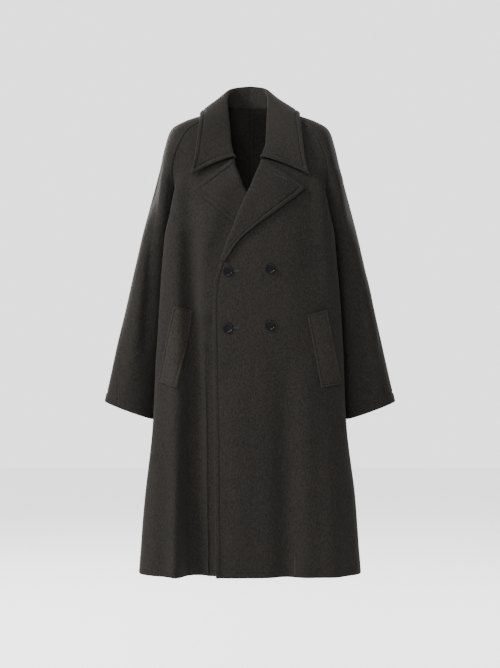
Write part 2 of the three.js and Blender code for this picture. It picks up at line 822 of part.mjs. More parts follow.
function clothPanels() {
  const panels = [];
  const add = (name, grid, facing, wall, draw = SEAM_GAP / 2) => {
    panels.push({ name, grid, facing, wall, draw });
  };
  const neck = {};
  for (const sideName of ["right", "left"]) {
    const side = SIDES[sideName];
    const front = frontGrid(sideName);
    const back = backGrid(sideName);
    const sleeveFront = sleeveGrid("front", sideName);
    const sleeveBack = sleeveGrid("back", sideName);
    add(`front_${sideName}`, front, side, CLOTH_WALL);
    add(`back_${sideName}`, back, -side, CLOTH_WALL);
    add(`sleeve_front_${sideName}`, sleeveFront, -side, CLOTH_WALL);
    add(`sleeve_back_${sideName}`, sleeveBack, -side, CLOTH_WALL);
    add(`lapel_${sideName}`, lapelGrid(sideName, front), -side, FOLDED_WALL);
    neck[sideName] = collarRows(side, neckStations(front, sleeveFront, sleeveBack, back));
  }
  add("collar", [...neck.right, ...neck.left.slice(0, -1).reverse()], 1, FOLDED_WALL, SEAM_GAP);
  return panels;
}

function buildCoat() {
  const coat = new THREE.Group();
  const meshes = {};
  const addCloth = (panel) => {
    const mesh = new THREE.Mesh(wallGeometry(panel), woolMaterial());
    mesh.name = panel.name;
    meshes[panel.name] = mesh;
    coat.add(mesh);
  };
  const panels = clothPanels();
  joinSeams(panels);
  panels.forEach(addCloth);
  for (const sideName of ["right", "left"]) {
    const grid = weltGrid(sideName, meshes[`front_${sideName}`]);
    const facing = SIDES[sideName];
    const normals = gridNormals(grid, facing);
    addCloth({ name: `pocket_welt_${sideName}`, grid, normals, facing, wall: WELT.wall });
  }
  BUTTON_PLACES.forEach(([x, z], k) => {
    const { normal } = onFront(1, x, z);
    const button = new THREE.Mesh(buttonGeometry(), buttonMaterial());
    button.name = `button_${k + 1}`;
    button.quaternion.setFromUnitVectors(new THREE.Vector3(0, 1, 0), normal);
    button.position.copy(seatOn(meshes.front_left, x, z)).addScaledVector(normal, BUTTON.seat);
    coat.add(button);
  });
  return coat;
}

export default buildCoat();
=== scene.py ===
"""A double-breasted wool coat with raglan sleeves, hollow, as worn.

Sizes below are in millimetres and become metres when a mesh is made. The front faces -Y, +Z is up, and the
origin is the centre of the neck, level with the back neck seam. "side" is +1 for the wearer's left (+X) and
-1 for the wearer's right. Widths are given outwards from the centre.
"""
import math

import bpy
import numpy as np
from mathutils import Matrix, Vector


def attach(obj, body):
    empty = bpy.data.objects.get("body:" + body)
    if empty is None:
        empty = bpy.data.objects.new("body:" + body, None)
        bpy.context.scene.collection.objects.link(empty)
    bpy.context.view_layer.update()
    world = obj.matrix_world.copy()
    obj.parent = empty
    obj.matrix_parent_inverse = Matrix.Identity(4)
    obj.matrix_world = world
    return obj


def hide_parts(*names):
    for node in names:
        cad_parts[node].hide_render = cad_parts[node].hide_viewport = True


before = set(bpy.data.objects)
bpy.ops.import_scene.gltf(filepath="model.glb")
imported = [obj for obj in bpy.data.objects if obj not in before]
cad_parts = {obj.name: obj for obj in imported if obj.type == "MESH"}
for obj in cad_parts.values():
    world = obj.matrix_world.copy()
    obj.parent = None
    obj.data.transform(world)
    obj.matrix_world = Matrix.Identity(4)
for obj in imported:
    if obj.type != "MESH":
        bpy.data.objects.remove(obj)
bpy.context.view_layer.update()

CLOTH_WALL = 2.4
# Collar and lapels are two layers sewn together.
FOLDED_WALL = 4.0
HEM_Z = -1135.0

# Stations count down the coat from the neck, which is 0. A sleeve has its own below the underarm.
GORGE = 3.45
UNDERARM = 7.0
LAPEL_FOOT = 8.6
LAST = 16.0
CUFF = 12.0
# Where on a body row its corner is; the flank lies between it and the side seam.
CORNER_T = 5 / 6
SIDES = {"left": 1, "right": -1}

# Raglan seams, station by station from the neck to the underarm.
RAGLAN_STATION = [0, 1, 2, 3, 4, 5, 6, 7]
RAGLAN = {
    "front": [[79, -18, -14], [118, -52, -46], [150, -72, -72], [172, -84, -112], [186, -84, -165],
              [180, -60, -225], [167, -20, -280], [155, 20, -318]],
    "back": [[68, 42, 1], [112, 82, -28], [150, 104, -66], [176, 112, -110], [188, 108, -168],
             [184, 88, -228], [170, 56, -282], [155, 20, -318]],
}

# Sleeve sections: inner (underarm seam) and outer (crest) points, and how far each half bellies. The inner
# ones start at the underarm, because the raglan seam stands for them above it.
SLEEVE_STATION = list(range(13))
SLEEVE_INNER = [[155, 20, -318], [170, 18, -402], [187, 14, -500], [204, 8, -608], [221, 2, -706],
                [236, -4, -769]]
SLEEVE_OUTER = [[80, 10, -3], [120, 14, -25], [160, 16, -41], [192, 18, -60], [207, 18, -98],
                [224, 18, -168], [244, 18, -243], [262, 18, -312], [281, 15, -396], [300, 11, -482],
                [323, 5, -583], [343, 0, -674], [355, -3, -725]]
BELLY = {
    "front_inner": [[0.4, 8, 4], [2, 18, 14], [8, 14, 26], [14, 2, 34], [16, -14, 24], [34, -42, 8],
                    [44, -72, -4], [54, -92, -2], [58, -90, 0], [44, -94, 0], [30, -88, 0], [14, -74, 0],
                    [4, -64, 0]],
    "front_outer": [[0, -8, -3], [0, -22, 0], [0, -36, 0], [0, -52, 0], [0, -72, -4], [0, -92, -10],
                    [0, -104, -12], [0, -110, -4], [0, -106, 0], [0, -102, 0], [4, -92, 0], [4, -76, 0],
                    [2, -66, 0]],
    "back_outer": [[-1, 10, 2], [0, 24, 2], [0, 38, 2], [0, 50, 0], [0, 66, -2], [0, 84, -8], [0, 98, -10],
                   [0, 108, -4], [0, 106, 0], [0, 100, 0], [2, 88, 0], [2, 74, 0], [0, 62, 0]],
    "back_inner": [[6, -10, -1], [2, -22, 4], [6, -12, 18], [10, 2, 28], [14, 12, 20], [46, 16, 6],
                   [62, 34, 0], [64, 80, 0], [58, 86, 0], [42, 90, 0], [20, 84, 0], [10, 72, 0], [4, 62, 0]],
}

# Half-sections of the body: height and y at the centre, the chest point and the corner.
BODY_KEYS = [0, 1, 2, 3, 4, 5, 6, 7, 8, 10, 11.5, 13, 14.5, 16]
BODY = {
    "front": {
        "centre_z": [-14, -50, -92, -133, -166, -216, -266, -318, -354, -478, -600, -780, -950, HEM_Z],
        "centre_y": [-12, -38, -66, -96, -107, -120, -128, -133, -135, -138, -141, -145, -148, -150],
        "chest_x": [78, 90, 92, 92, 105, 110, 115, 120, 120, 120, 120, 125, 130, 130],
        "chest_y": [-18, -47, -75, -90.5, -98, -109, -117, -122, -124, -128, -131, -135, -140, -147],
        "corner_x": [79, 104, 121, 136, 155, 178, 190, 201, 205, 215, 222, 230, 247, 258],
        "corner_y": [-18, -51, -75.5, -88.5, -92.5, -90, -88, -86, -85, -84, -80, -74, -84, -92],
        "corner_z": [-14, -48, -80, -118, -165, -220, -270, -318, -354, -478, -600, -780, -950, HEM_Z],
    },
    "back": {
        "centre_z": [0, -30, -66, -108, -160, -218, -272, -318, -354, -478, -600, -780, -950, HEM_Z],
        "centre_y": [75, 87, 99, 109, 117, 122, 125, 126, 127, 130, 134, 141, 151, 163],
        "chest_x": [38, 60, 80, 90, 100, 100, 100, 100, 100, 105, 110, 115, 120, 125],
        "chest_y": [66.5, 88, 102, 113, 120, 124, 126, 126, 127, 128, 131, 137, 148, 160],
        "corner_x": [56, 92, 120, 140, 160, 176, 186, 190, 192, 199, 206, 217, 238, 250],
        "corner_y": [54, 86, 105, 115, 116, 108, 104, 100, 101, 105, 106, 108, 112, 116],
        "corner_z": [0.5, -29, -66, -109, -164, -222, -275, -318, -354, -478, -600, -780, -950, HEM_Z],
    },
}
SIDE_KEYS = [7, 8, 10, 11.5, 13, 14.5, 16]
SIDE_X = [155, 150, 156, 172, 198, 240, 264]
SIDE_Y = [20, 22, 25, 25, 25, 22, 20]

# Front edge, roll line and neck seam, as distance outwards from the centre.
EDGE_KEYS = [0, 1, 2, 3, GORGE, 4, 5, 6, 7, 8, LAPEL_FOOT, 9.6, 11, 13, 14.5, 16]
EDGE = {
    "left": [79, 72, 58, 43, 28, 19, -2, -25, -44, -59, -70, -86, -88, -84, -82, -80],
    "right": [79, 74, 62, 50, 38, 32, 12, -19, -42, -57, -68, -82, -82, -82, -82, -82],
}

# Outer edge of the lapels, from the tip down to the foot.
LAPEL_KEYS = [GORGE, 4, 4.5, 5, 5.5, 6, 6.5, 7, 8, LAPEL_FOOT]
LAPEL = {
    "left": {"x": [134, 120, 106, 88, 68, 47, 26, 4, -28, -58],
             "z": [-213, -225, -237, -250, -266, -281, -296, -314, -343, -389]},
    "right": {"x": [134, 120, 106, 88, 68, 48, 28, 6, -26, -57],
              "z": [-214, -228, -241, -255, -273, -289, -305, -322, -347, -386]},
}

# Collar: roll (top of the fold) and outer edge of the fall, from the front end to the centre back.
COLLAR_KEYS = [0, 1, 2, 3, 4, 5, 6, 7]
COLLAR_ROLL = {
    "right": [[37, -103, -141], [46, -86, -108], [50, -58, -64], [54, -28, -24], [57, 8, 16], [52, 46, 42],
              [34, 74, 54], [-2, 87, 60]],
    "left": [[27, -105, -141], [38, -88, -108], [41, -60, -64], [43, -30, -24], [45, 8, 16], [42, 46, 42],
             [30, 74, 54], [2, 87, 60]],
}
COLLAR_EDGE = [[141, -105, -182], [131, -102, -132], [125, -84, -78], [120, -51, -42], [119, 10, -21],
               [108, 86, -24], [62, 99, -26], [0, 101, -24]]

# Long folds of the body cloth: panel, side, x and z where each starts and ends, depth at both, half width.
# A positive depth is a trough, here and in the creases, and a negative one is a ridge.
FOLDS = [
    ("front", -1, 150, 132, -120, HEM_Z, 3, 26, 19),
    ("front", -1, 172, 172, -300, HEM_Z, -2, -22, 22),
    ("front", 1, 110, 92, -480, HEM_Z, 1, 14, 34),
    ("front", 1, 185, 196, -560, HEM_Z, -1, -13, 30),
    ("back", -1, 80, 96, -520, HEM_Z, 1, 15, 26),
    ("back", 1, 70, 108, -600, HEM_Z, 1, 13, 28),
    ("back", -1, 165, 176, -560, HEM_Z, -1, -12, 28),
    ("back", 1, 160, 186, -640, HEM_Z, -1, -10, 28),
]

# Soft creases, one by one: piece they show on, x and z of the start and end, half width, depth: sunk
# where it is above 0 and raised where it is below. Those that end below the hem keep their full depth to it.
CREASES = [
    ("sleeve_front_right", -228, -150, -254, -590, 13, 6.5),
    ("sleeve_front_right", -204, -190, -228, -640, 13, -5.0),
    ("sleeve_front_right", -258, -420, -292, -690, 18, -3.4),
    ("sleeve_front_left", 214, -180, 240, -560, 15, -4.2),
    ("sleeve_front_left", 240, -200, 268, -620, 16, 3.4),
    ("sleeve_front_left", 280, -430, 318, -670, 20, -2.6),
    ("sleeve_back_right", -205, -150, -245, -420, 26, -3.0),
    ("sleeve_back_right", -226, -330, -268, -620, 22, 3.4),
    ("sleeve_back_left", 208, -170, 250, -440, 26, -3.0),
    ("sleeve_back_left", 232, -360, 272, -640, 22, 3.0),
    ("front_right", -168, -205, -186, -470, 20, -2.4),
    ("front_left", 166, -215, 190, -470, 20, -2.2),
    ("front_left", 140, -150, 158, -420, 22, 2.0),
    ("front_left", 60, -610, 66, -1000, 34, 1.4),
    ("front_left", 84, -660, 84, -1500, 26, 7.0),
    ("front_left", 136, -640, 142, -1500, 24, -4.0),
    ("front_left", -34, -700, -30, -1500, 34, -4.0),
    ("front_right", -146, -240, -140, -560, 30, 5.0),
    ("front_right", -140, -330, -134, -1500, 17, 12.0),
    ("front_right", -115, -540, -115, -1500, 22, 15.0),
    ("front_right", -90, -540, -90, -1500, 22, 17.0),
    ("front_right", -160, -760, -162, -1500, 22, 6.0),
    ("front_right", -184, -820, -188, -1500, 26, 5.0),
    ("front_right", -210, -620, -226, -1500, 24, -4.0),
    ("back_left", 150, -150, 130, -420, 26, 2.4),
    ("back_right", -152, -150, -126, -450, 26, 2.8),
    ("back_left", 60, -200, 40, -520, 30, -1.8),
    ("back_right", -58, -240, -44, -560, 30, -1.6),
]

WELT = {
    "left": {"top": [(135, -516), (182, -504)], "bottom": [(168, -689), (217, -679)]},
    "right": {"top": [(135, -506), (180, -495)], "bottom": [(173, -689), (217, -674)]},
}
WELT_WALL = 3.2
# How far the welt's back stands off the front that it lies on.
WELT_LIFT = 1.3

# x and z of the buttons: the fastened row beside the front edge first, then the other row.
BUTTON_PLACES = [(-52, -413), (-52, -547), (48, -407), (48, -541)]
BUTTON_RADIUS = 12.0
BUTTON_THICK = 4.2
# How far a button's back stands off the cloth.
BUTTON_SEAT = 0.4
# How deep the button's middle is dished.
BUTTON_DISH = 1.5
HOLE_SPREAD = 2.1
HOLE_RADIUS = 0.95

# How far in from its edge each line of stitching runs.
EDGE_STITCH = 11.0
CUFF_STITCH = 23.0
RAGLAN_STITCH = 8.0
WELT_STITCH = 6.0
HEM_STITCHES = (9.5, 17.7)
# Heights at which the stitching of the front edges starts and that of the raglan seams ends.
EDGE_STITCH_TOP = -400.0
RAGLAN_STITCH_FOOT = -300.0
# The facing behind a front's edge reaches this far in, and its end is tacked to the hem between two points.
FACING_WIDTH = 185.0
FACING_TACK = [(106, -1086), (106, -1128)]
# How far in from the front edge the hem's stitching goes, and how deep the hem is turned up beyond it.
HEM_STITCH_END = 176.0
HEM_TURN = 38.0
STITCH_PITCH = 4.2
STITCH_LENGTH = 3.4
STITCH_THICK = 0.6
# How far a stitch stands up from the cloth, as a share of its thickness.
STITCH_RISE = 0.15

# Width over which a cut edge is rounded, and over which creases die out towards a seam.
EASE_WIDTH = 3.2
SETTLE_WIDTH = 25.0


def along(stations, values, at):
    """Smooth curve through a table, each column by cubic pieces with matched slopes."""
    s = np.asarray(stations, float)
    v = np.asarray(values, float)
    at = np.clip(np.asarray(at, float), s[0], s[-1])
    i = np.clip(np.searchsorted(s, at, side="left") - 1, 0, len(s) - 2)
    after = np.minimum(np.arange(len(s)) + 1, len(s) - 1)
    before = np.maximum(np.arange(len(s)) - 1, 0)
    shape = (-1,) + (1,) * (v.ndim - 1)
    slope = (v[after] - v[before]) / (s[after] - s[before]).reshape(shape)
    width = s[i + 1] - s[i]
    u = (at - s[i]) / width
    if v.ndim > 1:
        u = u[..., None]
        width = width[..., None]
    rise = u * u * (3 - 2 * u) * (v[i + 1] - v[i])
    return v[i] + rise + width * (u * (1 - u) ** 2 * slope[i] - u * u * (1 - u) * slope[i + 1])


def smooth_step(start, end, value):
    """0 up to the start, 1 from the end on, and a soft S between; the start may be the higher one."""
    t = np.clip((value - start) / (end - start), 0, 1)
    return t * t * (3 - 2 * t)


def mix(a, b, t):
    """From a at 0 to b at 1, in a straight line."""
    return a + (b - a) * t


def bezier(start, start_belly, end_belly, end, t):
    """Curve between two points, pulled out by a belly at each of them."""
    t = np.asarray(t, float)[..., None]
    s = 1 - t
    a = start + start_belly
    b = end + end_belly
    return start * s ** 3 + a * 3 * s * s * t + b * 3 * s * t * t + end * t ** 3


def body_seam(panel, station):
    """Outer end of a body row: the raglan seam above the underarm and the side seam below it."""
    if station <= UNDERARM:
        return along(RAGLAN_STATION, RAGLAN[panel], station)
    z = along(BODY_KEYS, BODY[panel]["centre_z"], station)
    return np.array([along(SIDE_KEYS, SIDE_X, station), along(SIDE_KEYS, SIDE_Y, station), z])


class Row:
    """One half-section of the body, from past the centre out to the seam."""

    # How far the point between centre and chest follows the chest, and how many points x is looked up in.
    BETWEEN = 0.28
    SAMPLES = 161

    def __init__(self, panel, station):
        table = BODY[panel]
        value = {name: float(along(BODY_KEYS, column, station)) for name, column in table.items()}
        between = mix(value["centre_y"], value["chest_y"], self.BETWEEN)
        corner = [value["corner_x"], value["corner_y"], value["corner_z"]]
        share = 0.5 * smooth_step(0, corner[0], value["chest_x"])
        chest_z = mix(value["centre_z"], corner[2], share)
        x, z = value["chest_x"], value["centre_z"]
        points = [[-x, value["chest_y"], z], [-x / 2, between, z], [0, value["centre_y"], z],
                  [x / 2, between, z], [x, value["chest_y"], chest_z], corner, body_seam(panel, station)]
        self.panel = panel
        self.points = np.array(points, float)
        first = 2 * self.points[0] - self.points[1]
        last = 2 * self.points[-1] - self.points[-2]
        self.padded = np.vstack([first, self.points, last])
        steps = np.linalg.norm(np.diff(self.padded, axis=0), axis=1) ** 0.5
        self.steps = np.where(steps < 1e-4, 1, steps)
        self.dense_t = np.linspace(0, CORNER_T, self.SAMPLES)
        self.dense_x = self.at(self.dense_t)[:, 0]
        self.corner_x = corner[0]

    def at(self, t, tangent=False):
        """Centripetal curve through the points, as positions or as directions."""
        t = np.atleast_1d(np.asarray(t, float)) * (len(self.points) - 1)
        i = np.clip(np.floor(t).astype(int), 0, len(self.points) - 2)
        w = (t - i)[:, None]
        p0, p1, p2, p3 = (self.padded[i + k] for k in range(4))
        d0, d1, d2 = (self.steps[i + k][:, None] for k in range(3))
        t1 = ((p1 - p0) / d0 - (p2 - p0) / (d0 + d1) + (p2 - p1) / d1) * d1
        t2 = ((p2 - p1) / d1 - (p3 - p1) / (d1 + d2) + (p3 - p2) / d2) * d1
        c2 = -3 * p1 + 3 * p2 - 2 * t1 - t2
        c3 = 2 * p1 - 2 * p2 + t1 + t2
        if tangent:
            return t1 + 2 * c2 * w + 3 * c3 * w * w
        return p1 + t1 * w + c2 * w * w + c3 * w ** 3

    def t_at_x(self, x):
        """Place on the row at a distance outwards."""
        return np.interp(x, self.dense_x, self.dense_t)


def fold_depth(panel, side, x, z):
    """Depth of the long folds at a distance outwards and a height."""
    depth = np.zeros_like(x)
    for name, on_side, from_x, to_x, from_z, to_z, from_depth, to_depth, half_width in FOLDS:
        if name != panel or on_side != side:
            continue
        down = np.clip((from_z - z) / (from_z - to_z), 0, 1.2)
        offset = (x - mix(from_x, to_x, down)) / half_width
        grown = mix(from_depth, to_depth, down ** 1.3) * smooth_step(0, 0.12, down)
        depth += grown * np.exp(-offset * offset)
    return depth


def overlap_depth(side, x, z):
    """Room that the overlapping fronts leave each other; the underlap follows the left front's folds."""
    lapel_zone = smooth_step(-470, -405, z) * smooth_step(-150, -215, z)
    skirt = smooth_step(-700, HEM_Z, z)
    if side == 1:
        return -4 * smooth_step(120, 60, x) * lapel_zone - 3 * smooth_step(-60, -80, x) * skirt
    left_edge = mix(92, 34, smooth_step(-420, -230, z))
    under = smooth_step(left_edge + 42, left_edge - 6, x)
    followed = np.where(x < 0, fold_depth("front", 1, -x, z), 0)
    return followed + under * smooth_step(-190, -226, z) * (mix(4.2, 7.5, lapel_zone) + 9 * skirt)


def body_points(row, side, t):
    """Points of the body cloth on one row, with the long folds."""
    points = row.at(t)
    tangent = row.at(t, tangent=True)
    turn = 1 if row.panel == "front" else -1
    outwards = np.stack([tangent[:, 1] * turn, -tangent[:, 0] * turn, np.zeros(len(points))], axis=1)
    outwards /= np.linalg.norm(outwards, axis=1, keepdims=True) + 1e-12
    calm = smooth_step(1, CORNER_T, np.asarray(t))
    if row.panel == "back":
        calm = calm * smooth_step(0, 40, points[:, 0])
    depth = fold_depth(row.panel, side, points[:, 0], points[:, 2]) * calm
    if row.panel == "front":
        depth = depth + overlap_depth(side, points[:, 0], points[:, 2])
    points = points - outwards * depth[:, None]
    return points * [side, 1, 1]


def near_edge(width, near, step):
    """Distances across a piece: close together at both edges, even between."""
    count = max(int((width - 2 * near[-1]) / step), 2)
    middle = np.linspace(near[-1], width - near[-1], count + 1)[1:-1]
    return np.concatenate([near, middle, width - np.array(near)[::-1]]) / width


# Distances of the first rows or columns from an edge: close where it is rounded or stitched.
NEAR = [0, 0.7, 1.5, 2.6, 4.5, 7, 9, 10.2, 11, 11.8, 13, 15.5, 19]
SEAM_NEAR = [0, 0.7, 1.5, 2.6, 4.5, 6.5, 8, 9, 10.5, 14]
WELT_NEAR = [0, 0.6, 1.3, 2.2, 3.6, 4.8, 6, 7.2, 9]
HEM_NEAR = [0, 0.8, 1.7, 2.8, 5, 7.5, 8.7, 9.5, 10.3, 12, 15, 16.8, 17.7, 18.6, 21, 26]
CUFF_NEAR = [0, 0.8, 1.7, 2.8, 5, 9, 14, 19, 21.5, 22.5, 23.3, 24.2, 26, 30]
COLLAR_NEAR = [0, 0.8, 1.7, 2.8, 4.5, 7, 9.2, 10.3, 11, 11.8, 13, 16, 20]
# The last columns before a body seam, as shares of the room left up to it.
SEAM_SPREAD = [0.7, 0.45, 0.22, 0.1, 0.04, 0]
# Length of cloth that one station stands for, at the hem, the cuff and the collar's front end.
HEM_MM_PER_STATION = 123.0
CUFF_MM_PER_STATION = 104.0
COLLAR_MM_PER_PLACE = 45.0
# Length of the collar from its fold to its outer edge.
COLLAR_FALL_LENGTH = 110.0
# A row of the front with less room than this has its first columns closed up.
FULL_ROOM = 60


def body_stations():
    """Rows of the body from the neck to the hem: about 7 mm apart, closer at the hem."""
    hem = LAST - np.array(HEM_NEAR) / HEM_MM_PER_STATION
    stretches = [(0, 1.2, 14), (1.2, GORGE, 22), (GORGE, UNDERARM, 40), (UNDERARM, LAPEL_FOOT, 12),
                 (LAPEL_FOOT, hem[-1], 96)]
    return np.concatenate([np.linspace(*stretch)[:-1] for stretch in stretches] + [hem[::-1]])


BODY_STATIONS = body_stations()
RAGLAN_STATIONS = BODY_STATIONS[BODY_STATIONS <= UNDERARM + 1e-9]
# By row from the hem up: 1 below the lapels' foot, where the fronts have a free edge, and 0 above it.
FREE_EDGE = smooth_step(LAPEL_FOOT - 0.2, LAPEL_FOOT + 0.2, BODY_STATIONS[::-1])[:, None]


def lapel_gap(side, station):
    """Height of the roll between a front and its lapel: tight at the foot, open above."""
    opened = smooth_step(9, 6.5, station) if side == 1 else smooth_step(5.6, 4.6, station)
    return mix(0.9, 5.5, opened)


def front_edge_x(side_name, station):
    """Where the front ends: at its edge, or at the roll line where a lapel goes on from it."""
    x = float(along(EDGE_KEYS, EDGE[side_name], station))
    if station < GORGE - 0.001 or station > LAPEL_FOOT + 0.001:
        return x
    return x + FOLDED_WALL + float(lapel_gap(SIDES[side_name], station)) / 2


def body_grid(panel, side_name):
    """Rows from the hem up, columns from the front edge or the centre back out to the seam."""
    side = SIDES[side_name]
    near = np.array(NEAR if panel == "front" else SEAM_NEAR)
    middle = np.linspace(0, 1, 58 if panel == "front" else 44)[1:]
    flank = np.linspace(CORNER_T, 1, 25)[1:]
    seam_spread = np.concatenate([flank[:-4], 1 - (1 - flank[-5]) * np.array(SEAM_SPREAD)])
    rows = []
    for station in BODY_STATIONS:
        row = Row(panel, station)
        edge_x = front_edge_x(side_name, station) if panel == "front" else 0.0
        room = row.corner_x - edge_x
        close = edge_x + near * min(1, room / FULL_ROOM)
        x = np.concatenate([close, mix(close[-1], row.corner_x, middle)])
        t = np.concatenate([row.t_at_x(x), seam_spread])
        points = body_points(row, side, t)
        seam = body_seam(panel if station < UNDERARM else "front", station) * [side, 1, 1]
        points[-1] = seam
        if panel == "front" and station == 0:
            points[:] = seam
        if panel == "back":
            points[0, 0] = 0
        rows.append(points)
    return np.array(rows[::-1])


def seam_turn(station):
    """How far round the sleeve its overarm seam lies: on top above, turned to the front at the cuff."""
    return 1 - 0.36 * smooth_step(8, CUFF, station)


def sleeve_stations():
    """Rows of a sleeve from the neck to the cuff; the raglan part shares those of the body."""
    cuff = CUFF - np.array(CUFF_NEAR) / CUFF_MM_PER_STATION
    tube = np.linspace(UNDERARM, cuff[-1], 72)[1:-1]
    return np.concatenate([RAGLAN_STATIONS, tube, cuff[::-1]])


SLEEVE_STATIONS = sleeve_stations()
# Columns across half a sleeve, as shares of its width of about 150 mm.
SLEEVE_SHARE = near_edge(150, SEAM_NEAR, 3.4)


def sleeve_grid(half, side_name):
    """Rows from the neck down, columns from the inner seam to the crest, or on to the inner seam."""
    rows = []
    for station in SLEEVE_STATIONS:
        inner = {}
        for panel in ("front", "back"):
            if station <= UNDERARM:
                inner[panel] = along(RAGLAN_STATION, RAGLAN[panel], station)
            else:
                inner[panel] = along(SLEEVE_STATION[7:], SLEEVE_INNER, station)
        outer = along(SLEEVE_STATION, SLEEVE_OUTER, station)
        belly = {name: along(SLEEVE_STATION, table, station) for name, table in BELLY.items()}
        turn = seam_turn(station)
        place = SLEEVE_SHARE * turn if half == "front" else turn + SLEEVE_SHARE * (2 - turn)
        front = bezier(inner["front"], belly["front_inner"], belly["front_outer"], outer,
                       np.clip(place, 0, 1))
        back = bezier(outer, belly["back_outer"], belly["back_inner"], inner["back"],
                      np.clip(place - 1, 0, 1))
        rows.append(np.where(place[:, None] <= 1, front, back) * [SIDES[side_name], 1, 1])
    return np.array(rows)


class ChestMap:
    """The front's outer face as y by distance outwards and height, for what lies on it."""

    STEP = 2.0

    def __init__(self, side):
        self.x = np.arange(-90.0, 226.0, self.STEP)
        z_rows = []
        y_rows = []
        for station in np.linspace(1.0, 15.9, 420):
            row = Row("front", station)
            points = body_points(row, side, row.t_at_x(self.x))
            z_rows.append(row.points[2][2])
            y_rows.append(points[:, 1])
        self.z = np.array(z_rows)[::-1]
        self.y = np.array(y_rows)[::-1]

    def y_at(self, x, z):
        """y of the face, by straight lines between the four nearest known points."""
        x = np.clip(x, self.x[0], self.x[-1] - 0.01)
        z = np.clip(z, self.z[0], self.z[-1] - 0.01)
        i = np.clip(np.searchsorted(self.z, z) - 1, 0, len(self.z) - 2)
        j = np.clip(((x - self.x[0]) / self.STEP).astype(int), 0, len(self.x) - 2)
        v = (z - self.z[i]) / (self.z[i + 1] - self.z[i])
        u = (x - self.x[j]) / self.STEP
        low = mix(self.y[i, j], self.y[i, j + 1], u)
        high = mix(self.y[i + 1, j], self.y[i + 1, j + 1], u)
        return mix(low, high, v)


CHEST = {1: ChestMap(1), -1: ChestMap(-1)}


# A lapel's first columns go round the roll; what follows lies over the chest.
ROLL_COLUMNS = 11


def lapel_grid(side_name, front):
    """Rows from the foot up, columns from the front's edge round the roll and back over the chest."""
    side = SIDES[side_name]
    picked = np.where((BODY_STATIONS >= GORGE - 1e-6) & (BODY_STATIONS <= LAPEL_FOOT + 1e-6))[0]
    angle = np.linspace(0, np.pi, ROLL_COLUMNS)
    leaf = near_edge(100, NEAR, 3)[1:]
    rows = []
    for index in picked:
        station = BODY_STATIONS[index]
        start = front[len(BODY_STATIONS) - 1 - index][0]
        gap = float(lapel_gap(side, station))
        roll = np.stack([start[0] - side * np.sin(angle) * gap / 2,
                         start[1] - (1 - np.cos(angle)) * gap / 2,
                         np.full(len(angle), start[2])], axis=1)
        outer_x = float(along(LAPEL_KEYS, LAPEL[side_name]["x"], station))
        outer_z = float(along(LAPEL_KEYS, LAPEL[side_name]["z"], station))
        x = mix(start[0] * side, outer_x, leaf)
        z = mix(start[2], outer_z, leaf)
        rest = mix(3.2, 2.4, smooth_step(6.5, 8.4, station))
        bow = 2 * np.sin(np.pi * leaf) * smooth_step(7, 4.5, station)
        lift = mix(gap, rest, smooth_step(0, 0.5, leaf)) + bow
        drop = 1.6 * smooth_step(GORGE + 0.12, GORGE, station) * smooth_step(0, 0.1, leaf)
        leaf_points = np.stack([x * side, CHEST[side].y_at(x, z) - lift, z - drop], axis=1)
        rows.append(np.vstack([roll, leaf_points]))
    return np.array(rows[::-1])


# How round the collar's fold is.
FOLD_RADIUS = 4.5


def collar_half(side_name, neck, places):
    """Rows of half the collar: each goes up the stand, over the fold and down the fall."""
    side = SIDES[side_name]
    rows = []
    stand_share = 1 - (1 - np.concatenate([[0, 0.02, 0.05], np.linspace(0.1, 1, 12)])) ** 1.5
    fall_near = 1 - np.array(NEAR[::-1]) / COLLAR_FALL_LENGTH
    fall_share = np.unique(np.round(np.concatenate([np.linspace(0, 0.86, 22)[1:], fall_near]), 5))
    for point, place in zip(neck, places):
        roll = along(COLLAR_KEYS, COLLAR_ROLL[side_name], place) * [side, 1, 1]
        edge = along(COLLAR_KEYS, COLLAR_EDGE, place) * [side, 1, 1]
        at_front = float(smooth_step(1.4, 0, place))
        outwards = (edge - point) * [1, 1, 0]
        outwards /= np.linalg.norm(outwards)
        top = roll + outwards * FOLDED_WALL * 0.6
        top = top + [0, FOLDED_WALL * 0.8 * at_front, -FOLDED_WALL * 0.8 * (1 - at_front)]
        stand_belly = (roll - point) * 0.4 - outwards * 1.5
        top_belly = -outwards * FOLD_RADIUS - [0, 0, 3 * (1 - at_front)]
        fall_start = outwards * FOLD_RADIUS * 2.4 - [0, 6 * at_front, 0]
        fall_end = (top - edge) * 0.42 + outwards * 10 * (1 - at_front) + [0, 0, 7]
        stand = bezier(point, stand_belly, top_belly, top, stand_share)
        fall = bezier(top, fall_start, fall_end, edge, fall_share)
        rows.append(np.vstack([stand, fall]))
    return rows


def by_column(at, known, values):
    """Points between known ones, each of their coordinates looked up in a straight line."""
    return np.stack([np.interp(at, known, values[:, k]) for k in range(3)], axis=-1)


def run_length(line):
    """Distance along a line of points to each of them."""
    return np.concatenate([[0], np.cumsum(np.linalg.norm(np.diff(line, axis=0), axis=1))])


